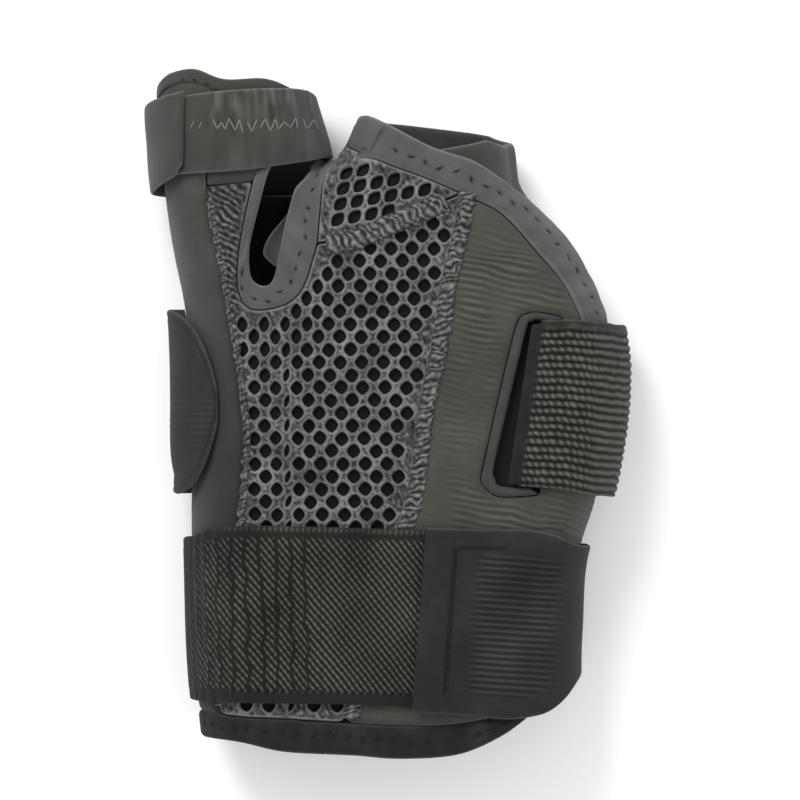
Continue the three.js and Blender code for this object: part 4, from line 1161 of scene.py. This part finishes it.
def pair(chart, first, second, step):
    """Two edges of a strip, resampled to the same number of stations, in chart places."""
    first, second = on_sleeve(chart, first), on_sleeve(chart, second)
    a, b = resample(first, 0.4), resample(second, 0.4)
    length = max(run_of(a)[-1], run_of(b)[-1])
    count = int(length / step)
    at = np.linspace(0, 1, count)
    out = []
    for line in (a, b):
        share = np.linspace(0, 1, len(line))
        out.append(chart.on_front(np.column_stack([np.interp(at, share, values) for values in line.T])))
    return out


def along_band(low, high, share, pitch, wobble, seed):
    """Stitch places and angles along a strip at a share of its width."""
    line = resample(np.asarray(low) * (1 - share) + np.asarray(high) * share, pitch)
    rng = np.random.default_rng(seed)
    direction = np.gradient(line, axis=0)
    angles = np.arctan2(direction[:, 1], direction[:, 0]) + rng.uniform(-wobble, wobble, len(line))
    line = line + rng.uniform(-0.5, 0.5, line.shape)
    return line[1:-1], angles[1:-1]


def stitched(places, angles, length, width, depth, folds=0.25, seed=0.0):
    """Relief of a bound edge: soft folds across it and the dents of its stitches, with painted shade in the
    dents and painted light and shade on the folds.
    """
    def relief(s, y, along, across, full_width):
        dent = dents(s, y, places, length, width, angles)
        ruffle = rough((along, across * 0.35), 4.5, seed) * folds
        return ruffle - depth * dent, ruffle * 0.6 / max(folds, 0.01) * 0.4 - dent * 1.3
    return relief


FIRST_FINGER_STITCH_X = 0.5


def web_stitches(low, high):
    """Stitches round the foot and the palm side of the thumb web, with none on its thumb side."""
    places, angles = along_band(low, high, 0.36, 4.3, 0.9, 11)
    keep = np.arange(len(places)) > 0.36 * len(places)
    return places[keep], angles[keep]


def web_binding():
    low, high = pair(HAND, web_outer, web_inner, 0.8)
    places, angles = web_stitches(low, high)
    return band("web_binding_tape", HAND, low, high, 0.5, PANEL + 0.3, BINDING, "web_binding",
                stitched(places, angles, 0.75, 0.32, 0.4, 0.2, 2.0), across=14, under=8, radius=1.7)


def web_fold():
    """The fold of the web's tape that hangs into the opening on its palm side, painted dark as the shade
    inside the opening.
    """
    low, high = pair(HAND, curve(WEB_FOLD_EDGE), curve(WEB_FOLD_ROOT), 0.5)
    drop = -2.2 - 1.4 * np.sin(np.linspace(0, math.pi, len(low)))
    return band("web_fold_tape", HAND, low, high, drop, 1.2, BINDING, across=8, under=4, radius=0.6,
                relief=lambda s, y, along, v, full: (0 * v, -0.9 + 0.15 * v))


def finger_stitches(low, high):
    """Stitches along the finger edge, from the top of its thumb side on."""
    places, angles = along_band(low, high, 0.45, 4.6, 1.0, 12)
    keep = HAND.place(places[:, 0], places[:, 1], 0.0)[:, 0] > FIRST_FINGER_STITCH_X
    return places[keep], angles[keep]


def finger_binding():
    low, high = pair(HAND, finger_inner, finger_outer, 0.8)
    places, angles = finger_stitches(low, high)
    return band("finger_binding_tape", HAND, low, high, 0.5, PANEL + 0.3, BINDING, "finger_binding",
                stitched(places, angles, 1.0, 0.34, 0.45, 0.3, 3.0), across=16, under=8, radius=1.8)


def slot_binding():
    low, high = pair(HAND, curve(SLOT_OUTER, HAND_STRAP_WIDTH, HAND_STRAP_Y),
                     curve(SLOT_INNER, HAND_STRAP_WIDTH, HAND_STRAP_Y), 0.7)
    return band("slot_binding_tape", HAND, low, high, 0.5, PANEL + 0.3, TAB, "slot_binding",
                across=8, under=6, radius=1.1)


HEM_STATIONS = 420


def hem_edges():
    """Both edges of the wrist hem, and the places and angles of its stitches."""
    high, low = around(HAND, hem_top, HEM_STATIONS), around(HAND, hem_bottom, HEM_STATIONS) + [0, 0.4]
    return low, high, *along_band(low[10:200], high[10:200], 0.55, 4.6, 1.2, 13)


def wrist_hem():
    low, high, places, angles = hem_edges()
    return band("wrist_hem_tape", HAND, low, high, 0.4, PANEL + 0.3, HEM, "wrist_hem",
                stitched(places, angles, 0.85, 0.4, 0.45, 0.15, 5.0), across=12, under=6, radius=1.7,
                closed=True)


# Seams where the panels are overlocked together

def seam_band(name, line, width, seed, lift=0.6, pitch=1.8, step=0.35):
    line = resample(line, step)
    across = unit(np.gradient(line, axis=0))[:, ::-1] * [-1, 1]
    wave = np.array([noise.noise(Vector((k * step * 0.5, seed, 0.0))) for k in range(len(line))]) * 0.9
    low = HAND.on_front(line - across * (width / 2 + wave[:, None]))
    high = HAND.on_front(line + across * (width / 2 - wave[:, None]))

    def relief(s, y, along, v, full):
        sway = 0.4 * np.sin(1.3 * v + 3 * rough((along, v * 0), 4.0, seed))
        sway = sway + 1.5 * rough((along, v), 3.2, seed + 1)
        ridge = np.abs(np.sin(math.pi * (along + sway + 0.55 * v) / pitch)) ** 0.7
        fine = rough((along, v), 1.3, seed + 3)
        rise = 0.8 * ridge + 0.5 * fine - 0.45
        # Painted light on the ridges and painted shade between them; shade is also painted along both edges
        painted_shading_and_mottle = 2.0 * ridge - 1.3 + 1.1 * fine
        return rise, np.clip(painted_shading_and_mottle, -1.3, 1.3)
    return band(name, HAND, low, high, lift, 1.1, NETTING, (), relief, across=16, under=4, radius=1.0,
                edge_shading=-0.6)


# Straps

def strap_edge(chart, find_back, line, front_x, back_x, y_far):
    """A strap's edge: along a curve on the front, then straight to y_far on the back."""
    front = chart.on_front(at_x(line, front_x))
    y_side = front[-1, 1]
    share = (back_x - front_x[-1]) / (back_x[-1] - front_x[-1])
    return np.vstack([front, find_back(np.column_stack([back_x, y_side + (y_far - y_side) * share]))])


def matched(low, high, step):
    """Both edges of a strip, with the same number of stations."""
    low, high = resample(low, step), resample(high, 0.2)
    at, share = np.linspace(0, 1, len(low)), np.linspace(0, 1, len(high))
    return low, np.column_stack([np.interp(at, share, values) for values in high.T])


CORDS = 22
KNOT_PITCH = 1.9
FOLD_EDGE = 2.0


def stations(low, high, fine, until, coarse):
    """Both edges of a strap at the same stations, close together at first and wider apart after."""
    length = np.sum(np.linalg.norm(np.diff(low, axis=0), axis=1))
    at = np.concatenate([np.arange(0, until, fine), np.arange(until, length, coarse), [length]]) / length
    out = []
    for line in (low, high):
        run = run_of(line)
        out.append(np.column_stack([np.interp(at * run[-1], run, line[:, k]) for k in (0, 1)]))
    return out[0], out[1], at * length


def hand_strap():
    top = np.array(scaled(HAND_STRAP_TOP, HAND_STRAP_WIDTH, HAND_STRAP_Y))
    bottom = np.array(scaled(HAND_STRAP_BOTTOM, HAND_STRAP_WIDTH, HAND_STRAP_Y))
    (tx, ty), (bx, by) = scaled(HAND_STRAP_EDGE, HAND_STRAP_WIDTH, HAND_STRAP_Y)
    x_end = HAND.side_x(HAND_STRAP_Y, True)
    back_x = np.linspace(x_end, HAND.side_x(HAND_STRAP_Y, False) + 0.8, 80)[1:]
    edges = []
    for line, start, far_share in ((bottom, bx, -0.47), (top, tx, 0.51)):
        y_far = HAND_STRAP_Y + HAND_STRAP_WIDTH * far_share
        edges.append(strap_edge(HAND, HAND.on_back, line, np.linspace(start, x_end, 60), back_x, y_far))
    run_low, run_high, distance = stations(edges[0], edges[1], 0.34, 46.0, 1.2)
    side = HAND.side(10.0, True) - run_low[:, 0].min()
    bulge = 2.9 * np.exp(-(((distance - side) / 13.0) ** 2))
    lift = 0.7 + STRAP + bulge

    # The bend into the slot: a quarter turn at the strap's visible edge, then down to the wing
    radius = 2.2
    turn = np.linspace(math.pi / 2, 0, 9)[:-1]
    down = np.linspace(-2.6, -radius - 0.6, 5)
    centre_lift = 0.7 + STRAP / 2
    bend_s = np.concatenate([np.full(len(down), STRAP / 2), STRAP / 2 + radius * (1 - np.sin(turn))])
    bend_l = np.concatenate([centre_lift + down, centre_lift - radius + radius * np.cos(turn)])
    bend_t = np.concatenate([np.full(len(down), math.pi / 2), turn])
    keep = distance > STRAP / 2 + radius
    start_low, start_high = run_low[0], run_high[0]
    low = np.vstack([np.column_stack([start_low[0] + bend_s, np.full(len(bend_s), by)]), run_low[keep]])
    high = np.vstack([np.column_stack([start_high[0] + bend_s, np.full(len(bend_s), ty)]), run_high[keep]])
    lift = np.concatenate([bend_l + STRAP / 2, lift[keep]])
    tilt = np.concatenate([bend_t, np.zeros(keep.sum())])

    def relief(s, y, along, v, full):
        phase = v / full * CORDS + 0.12 * rough((along, v), 4.0, 7.0)
        cord = np.abs(np.cos(math.pi * phase)) ** 0.75
        fold = ease((along - FOLD_EDGE) / 1.6)
        selvage = ease((full - v - 2.2) / 1.2)
        wave = rough((along, v), 3.0, 8.0)
        reach = 16 + 5 * rough((v, v * 0), 4.0, 2.0) - 2 * (v / full)
        basket = fold * selvage * (1 - ease((along - reach) / 9))
        shift = 0.3 * (np.floor(phase + 0.5) % 2) + 0.06 * v + 0.5 * (phase - np.floor(phase + 0.5))
        beat = 0.5 + 0.5 * np.cos(2 * math.pi * (along / KNOT_PITCH + shift + 0.25 * wave))
        clear = fold * (0.25 + 0.75 * selvage)
        # Painted light on the cords and knots, painted shade between them and along the bend into the slot
        rise = 0.6 * (cord - 1) * clear - 0.34 * basket * (1 - beat) * cord + 0.08 * wave
        painted_shading_and_mottle = (cord * 2.2 - 1.35) * clear + basket * (beat - 0.6) * 1.1 * cord - 0.4 * (1 - fold) + 0.3 * wave
        return rise, np.clip(painted_shading_and_mottle, -1.3, 1.3)
    return band("hand_strap_webbing", HAND, low, high, lift, STRAP, WEBBING, "hand_strap", relief,
                across=150, under=8, radius=0.8, tilt=tilt, edge_shading=0.2)


def hand_strap_tab():
    mid_y = HAND_STRAP_Y + 0.035 * HAND_STRAP_WIDTH
    half = 0.525 * HAND_STRAP_WIDTH
    tip = THUMB.on_front([(-0.669 * HALF_WIDTH, mid_y)])[0][0]
    full = THUMB.side(mid_y, False) + 2.5
    last = full - 12.0
    curved = tip + (full - tip) * (1 - np.cos(np.linspace(0.16, math.pi / 2, 40)))
    straight = np.arange(full - 0.5, last, -0.5)
    s = np.concatenate([curved, straight])
    t = np.clip((s - full) / (tip - full), 0, 1)
    reach = half * (1 - t**2.3) ** (1 / 2.0)
    skew = 3.0 * t
    high = np.column_stack([s, mid_y + reach - 0.5 * skew])
    low = np.column_stack([s, mid_y - reach - 0.3 * skew])
    lift = 0.7 + 2.2 + 2.4 * ease((tip - 6 - s) / 16)

    def relief(ss, y, along, v, width):
        wave = np.cos(2 * math.pi * y / 1.8) * np.exp(-(((y + 4) / 9) ** 2)) * 0.06
        fold = rough((ss, y), 15.0, 9.0) * 0.3
        rim = np.minimum(v, width - v)
        groove = -0.16 * np.exp(-(((rim - 2.2) / 0.5) ** 2))
        # Painted light on the ribs and folds, painted shade in the groove near the edge
        return wave + fold * 0.5 + groove, wave * 5 + fold * 0.7 + groove * 2.5
    return band("hand_strap_tab_cloth", THUMB, low, high, lift, 2.2, SHADED_TAB, "hand_strap_tab", relief,
                across=60, under=8, radius=1.0, end=0.6)


def wrist_strap():
    top = curve(WRIST_STRAP_TOP, WRIST_STRAP_WIDTH, WRIST_STRAP_Y)
    bottom = curve(WRIST_STRAP_BOTTOM, WRIST_STRAP_WIDTH, WRIST_STRAP_Y)
    x_left = HAND.side_x(WRIST_STRAP_Y, False)
    front_x = np.linspace(0.27 * HALF_WIDTH, x_left, 90)
    back_x = np.linspace(x_left, 0.57 * HALF_WIDTH, 80)[1:]
    edges = []
    for line, far_share in ((bottom, -0.43), (top, 0.45)):
        y_far = WRIST_STRAP_Y + WRIST_STRAP_WIDTH * far_share
        edges.append(strap_edge(HAND, HAND.on_back_left, line, front_x, back_x, y_far))
    low, high, _ = stations(edges[0], edges[1], 0.5, 92.0, 1.4)

    def relief(s, y, along, v, full):
        smooth = ease((along - 66) / 14)
        selvage = np.maximum(1 - ease((v - 3.2) / 0.8), 1 - ease((full - v - 2.7) / 0.8))
        chain = np.exp(-(((full - v - 0.9) / 0.45) ** 2)) * (0.5 + 0.5 * np.cos(2 * math.pi * along / 1.5))
        hem_row = np.exp(-(((v - 3.3) / 0.5) ** 2)) * np.cos(2 * math.pi * (along + np.abs(v - 3.3)) / 2.2)
        chained = 1 - ease((along - 60) / 6)
        blotch = rough((along * 0.5, v * 0.3), 5.0, 13.0)
        wale = np.cos(2 * math.pi * (along + blotch) / WALE_PITCH) * ease((along - 60) / 6)
        rise = 0.3 * chain * chained + 0.15 * hem_row * chained - 0.1 * selvage + 0.12 * wale + 0.2 * blotch
        # Painted light on the raised chain and hem-row stitches and the wales, painted shade on the selvages;
        # the strap is also darker past 66 mm along
        painted_shading_and_mottle = 1.5 * chain * chained + 0.8 * hem_row * chained - 0.3 * selvage - 0.45 * smooth + 0.35 * blotch
        return rise, np.clip(painted_shading_and_mottle + 0.25 * wale, -1.3, 1.3), (1 - selvage) * (1 - 0.55 * smooth)
    return band("wrist_strap_elastic", HAND, low, high, 0.7 + STRAP, STRAP, ELASTIC, "wrist_strap",
                relief, across=80, under=8, radius=0.8, edge_shading=0.2)


def tab_lift(run):
    """Lift of the wrist tab's outside: it starts on top of the strap and comes down to the panel."""
    return 0.8 + STRAP + 2.2 * (1 - ease((run - 10) / 9))


def wrist_strap_tab():
    top = curve(WRIST_TAB_TOP, WRIST_STRAP_WIDTH, WRIST_STRAP_Y)
    bottom = curve(WRIST_TAB_BOTTOM, WRIST_STRAP_WIDTH, WRIST_STRAP_Y)
    x_right = HAND.side_x(WRIST_STRAP_Y, True)
    back_x = np.linspace(x_right, 0.6 * HALF_WIDTH, 14)[1:]
    edges = []
    for line, start, far_share in ((bottom, 0.113, -0.43), (top, 0.169, 0.45)):
        front_x = np.linspace(start * HALF_WIDTH, x_right, 80)
        y_far = WRIST_STRAP_Y + WRIST_STRAP_WIDTH * far_share
        edges.append(strap_edge(HAND, HAND.on_back, line, front_x, back_x, y_far))
    low, high = matched(*edges, 0.6)
    run = np.arange(len(low)) * 0.6
    lift = tab_lift(run)

    def relief(s, y, along, v, full):
        wobble = rough((along, v), 12.0, 14.0) * 0.5
        wave = np.cos(2 * math.pi * (y + 0.4 * wobble + 0.075 * along) / 1.72)
        inside = ease((along - 13) / 5) * ease((v - 5) / 3) * ease((full - v - 6) / 3)
        inside = inside * (1 - ease((along - 34) / 8))
        box = np.exp(-(((along - 8.7) / 0.5) ** 2)) * ease((v - 5) / 1) * ease((full - v - 5) / 1)
        row = np.exp(-(((full - v - 5.4) / 0.45) ** 2)) * ease((along - 9) / 1) * (1 - ease((along - 21) / 3))
        fold = rough((along, v), 16.0, 15.0) * 0.35
        # Painted light on the ribs, painted shade in the dents of the box stitching
        rise = 0.16 * wave * inside - 0.35 * box - 0.3 * row + fold * 0.6
        return rise, wave * inside * 0.6 - 0.9 * box - 0.8 * row + fold * 0.9
    return band("wrist_strap_tab_cloth", HAND, low, high, lift, STRAP + 0.2, SHADED_TAB, "wrist_strap_tab",
                relief, across=110, under=8, radius=1.0)


def thumb_strap():
    top = curve(THUMB_STRAP_TOP, THUMB_STRAP_WIDTH, THUMB_STRAP_Y)
    bottom = curve(THUMB_STRAP_BOTTOM, THUMB_STRAP_WIDTH, THUMB_STRAP_Y)
    x_right = THUMB.side_x(THUMB_STRAP_Y, True)
    front_x = np.linspace(-0.86 * HALF_WIDTH, x_right, 60)
    back_x = np.linspace(x_right, THUMB.side_x(THUMB_STRAP_Y, False) + 0.6, 50)[1:]
    edges = []
    for line, far_share in ((bottom, -0.5), (top, 0.14)):
        y_far = THUMB_STRAP_Y + THUMB_STRAP_WIDTH * far_share
        edges.append(strap_edge(THUMB, THUMB.on_back, line, front_x, back_x, y_far))
    low, high = matched(*edges, 0.5)

    def relief(s, y, along, v, full):
        wrinkle = rough((along, v * 0.16), 1.6, 21.0) * ease((along - 8) / 6) * (1 - ease((along - 44) / 8))
        upper = 0.35 + 0.65 * ease((v - 7) / 8)
        fold = rough((along, v), 12.0, 22.0) * 0.25
        streak = np.clip(rough((along, v * 0.1), 1.2, 25.0), 0, 1) * ease((v - 14) / 5)
        streak = streak * ease((along - 10) / 4) * (1 - ease((along - 36) / 5))
        # Painted light on the raised wrinkles and streaks, painted shade between them
        rise = wrinkle * 0.32 * upper + fold + 0.25 * streak
        return rise, wrinkle * 0.9 * upper + fold * 0.8 + 1.4 * streak
    return band("thumb_strap_elastic", THUMB, low, high, 0.7 + 1.5, 1.5, TAB, "thumb_strap", relief,
                across=44, under=6, radius=0.7)


def thumb_strap_tab():
    inner_x = -0.801 * HALF_WIDTH
    side = THUMB.side(THUMB_STRAP_Y, False)
    corner = THUMB.on_front([(inner_x, THUMB_STRAP_Y + 0.49 * THUMB_STRAP_WIDTH)])[0]
    high = [corner, (side + 3, 86.6), (side, 84.6), (side - 8.5, 80.0)]
    low = [*THUMB.on_front([(inner_x, 67.4), (-56.5, 66.2), (-59.0, 64.6), (-60.8, 63.2)]), (side, 62.0),
           (side - 8.5, 61.6)]
    low, high = matched(low, high, 0.4)
    run = np.arange(len(low)) * 0.4
    low[:, 1] += 2.2 * (1 - ease(run / 3.2)) ** 2

    def relief(s, y, along, v, full):
        fold = rough((along, v), 9.0, 24.0) * 0.25
        # The folds are painted lighter on their crests and darker in their troughs
        return fold, fold * 0.8
    return band("thumb_strap_tab_cloth", THUMB, low, high, 2.5 + 1.6, 1.6, TAB, "thumb_strap_tab",
                relief, across=30, under=6, radius=0.8)


# Threads

def thread_runs(name, chart, runs, lift, radius, material, sides=6):
    """Thin threads, each following its own (s, y) points just above a surface."""
    points, faces, cloth = [], [], []
    for run in runs:
        run = np.asarray(run, float)
        lifts = lift(run[:, 0]) if callable(lift) else np.full(len(run), lift)
        centre = chart.place(run[:, 0], run[:, 1], lifts)
        along = unit(np.gradient(centre, axis=0))
        up = chart.place(run[:, 0], run[:, 1], lifts + 1.0) - centre
        side = unit(np.cross(along, up))
        up = np.cross(side, along)
        start = len(points)
        for k in range(len(run)):
            thick = radius * (0.55 if k in (0, len(run) - 1) else 1.0)
            for m in range(sides):
                a = 2 * math.pi * m / sides
                points.append(centre[k] + thick * (math.cos(a) * side[k] + math.sin(a) * up[k]))
                cloth.append(run[k])
        for k in range(len(run) - 1):
            for m in range(sides):
                n = (m + 1) % sides
                a, b = start + k * sides, start + (k + 1) * sides
                faces.append((a + m, a + n, b + n, b + m))
        faces.append(tuple(start + m for m in range(sides))[::-1])
        faces.append(tuple(start + (len(run) - 1) * sides + m for m in range(sides)))
    return make_mesh(name, np.array(points), faces, np.array(cloth), np.zeros(len(points)), material)


def thumb_zigzag():
    """The pale zigzag row on the thumb strap."""
    line = []
    x = np.linspace(-53.6, -20.5, 29)
    rng = np.random.default_rng(31)
    for k, value in enumerate(x):
        turn = 1 if k % 2 else -1
        line.append((value + rng.uniform(-0.4, 0.4), 80.3 + turn * (1.7 + rng.uniform(-0.9, 0.5))))
    runs = []
    for k in range(len(line) - 1):
        if rng.uniform() < 0.8:
            runs.append(THUMB.on_front(resample([line[k], line[k + 1]], 0.8)))
    return thread_runs("thumb_strap_zigzag", THUMB, runs, 2.25, 0.24, PALE_THREAD)


def dash_runs(places, angles, length):
    runs = []
    for (s, y), angle in zip(places, angles):
        d = np.array([math.cos(angle), math.sin(angle)]) * length / 2
        runs.append([(s - d[0], y - d[1]), (s, y), (s + d[0], y + d[1])])
    return runs


def binding_threads():
    low, high = pair(HAND, finger_inner, finger_outer, 0.8)
    runs = dash_runs(*finger_stitches(low, high), 1.8)
    low, high = pair(HAND, web_outer, web_inner, 0.8)
    runs += dash_runs(*web_stitches(low, high), 1.2)
    runs += dash_runs(*hem_edges()[2:], 1.6)
    return thread_runs("binding_threads", HAND, runs, 0.3, 0.26, THREAD)


def rim_threads():
    """The few stitches that show on the thumb's edge."""
    runs = []
    for x in (-56.1, -52.8, -49.4, -41.0, -37.1):
        y = float(height_on(thumb_top, x)) - 3.0
        runs.append(THUMB.on_front([(x - 0.5, y + 0.2), (x, y), (x + 0.5, y - 0.2)]))
    return thread_runs("thumb_rim_threads", THUMB, runs, 0.45, 0.3, THREAD)


TAB_STITCH_X = 18.3


def tab_threads():
    """The box stitching on the wrist strap's tab."""
    rng = np.random.default_rng(33)
    runs = []
    for y in np.arange(-34, -78, -3.1):
        x = TAB_STITCH_X + 0.04 * (y + 50) + rng.uniform(-0.25, 0.25)
        runs.append(HAND.on_front([(x, y), (x + 0.3, y - 1.0), (x - 0.1, y - 2.0)]))
    for x in np.arange(TAB_STITCH_X + 1.2, 33, 3.0):
        runs.append(HAND.on_front([(x, -37.2), (x + 0.9, -37.1), (x + 1.8, -37.3)]))
    start = HAND.on_front([(0.14 * HALF_WIDTH, WRIST_STRAP_Y)])[0][0]
    return thread_runs("wrist_tab_threads", HAND, runs, lambda s: tab_lift(s - start) - 0.05, 0.24, THREAD)


stay_panel()
thumb_stall()
thumb_rim()
palm_mesh()
web_mesh()
palm_lining()
ulnar_panel()
dorsal_panel()
thumb_back()
web_binding()
web_fold()
finger_binding()
slot_binding()
wrist_hem()
seam_band("palm_seam_overlock", above_hem(palm_seam) + [1.6, 0], 4.8, 1.0, pitch=1.9)
seam_band("gusset_overlock", gusset_seam[3:-3] - [0, 0.6], 5.8, 2.0, pitch=2.1)
seam_band("stay_overlock", above_hem(stay_seam[stay_seam[:, 1] < 63]) + [0.8, 0], 2.2, 3.0, lift=0.5)
hand_strap()
hand_strap_tab()
wrist_strap()
wrist_strap_tab()
thumb_strap()
thumb_strap_tab()
thumb_zigzag()
binding_threads()
rim_threads()
tab_threads()


# Sheet pieces: their cloth coordinates are read, and nothing more is done with them


def declare_sheet(name):
    """Reads a sheet piece's cloth coordinates; nothing is done with them."""
    piece = bpy.data.objects[name]
    values = np.empty(len(piece.data.vertices) * 3, np.float32)
    piece.data.attributes["cloth"].data.foreach_get("vector", values)


for sheet_piece, held, rest in (
    ("palm_mesh_net", "stretched", ["palm_lining_cloth"]),
    ("web_mesh_net", "stretched", ["palm_lining_cloth"]),
    ("palm_lining_cloth", "stretched", ["ulnar_panel_cloth"]),
    ("hand_strap_webbing", "folded", ["ulnar_panel_cloth"]),
    ("hand_strap_tab_cloth", "laid", ["stay_panel_cloth"]),
    ("wrist_strap_elastic", "stretched", ["stay_panel_cloth"]),
    ("wrist_strap_tab_cloth", "laid", ["wrist_strap_elastic"]),
    ("thumb_strap_elastic", "stretched", ["thumb_stall_cloth"]),
    ("thumb_strap_tab_cloth", "laid", ["thumb_strap_elastic"]),
):
    declare_sheet(sheet_piece)


# Floor, light and camera

PHOTO_PX = 800
PHOTO_MM_PER_PX = 0.28
SPLINT_PX = (384.5, 414.0)    # the middle of the splint in the photograph
VIEW_CENTRE = np.array([PHOTO_PX / 2 - SPLINT_PX[0], SPLINT_PX[1] - PHOTO_PX / 2]) * PHOTO_MM_PER_PX
SENSOR_MM = 36.0
CAMERA_HEIGHT = 2.0
TARGET_HEIGHT = 0.028


def pale_floor():
    mesh = bpy.data.meshes.new("floor")
    r = 4.0
    mesh.from_pydata([(-r, -r, 0), (r, -r, 0), (r, r, 0), (-r, r, 0)], [], [(0, 1, 2, 3)])
    floor = put("floor", mesh)
    material = bpy.data.materials.new("pale_floor")
    material.use_nodes = True
    shader = material.node_tree.nodes["Principled BSDF"]
    shader.inputs["Base Color"].default_value = (0.93, 0.93, 0.92, 1)
    shader.inputs["Roughness"].default_value = 0.9
    mesh.materials.append(material)


def area_light(name, place, aim, size, power):
    data = bpy.data.lights.new(name, "AREA")
    data.shape = "DISK"
    data.size = size
    data.energy = power
    light = put(name, data)
    light.location = place
    light.rotation_euler = (Vector(aim) - Vector(place)).to_track_quat("-Z", "Y").to_euler()


def studio():
    world = bpy.data.worlds.new("studio")
    bpy.context.scene.world = world
    world.use_nodes = True
    world.node_tree.nodes["Background"].inputs["Color"].default_value = (1, 1, 1, 1)
    world.node_tree.nodes["Background"].inputs["Strength"].default_value = 0.85
    area_light("key_light", (-0.5, 0.85, 1.0), (0, 0, 0), 0.7, 15.0)
    area_light("fill_light", (0.9, -0.4, 1.2), (0, 0, 0), 1.0, 6.0)


def camera():
    data = bpy.data.cameras.new("camera")
    data.sensor_width = SENSOR_MM
    field = PHOTO_PX * PHOTO_MM_PER_PX * MM
    data.lens = SENSOR_MM * (CAMERA_HEIGHT - TARGET_HEIGHT) / field
    data.clip_end = 20.0
    view = put("camera", data)
    centre = (VIEW_CENTRE + SHIFT[:2]) * MM
    view.location = (centre[0], centre[1], CAMERA_HEIGHT)
    bpy.context.scene.camera = view


pale_floor()
studio()
camera()
bpy.context.scene.view_settings.view_transform = "Standard"
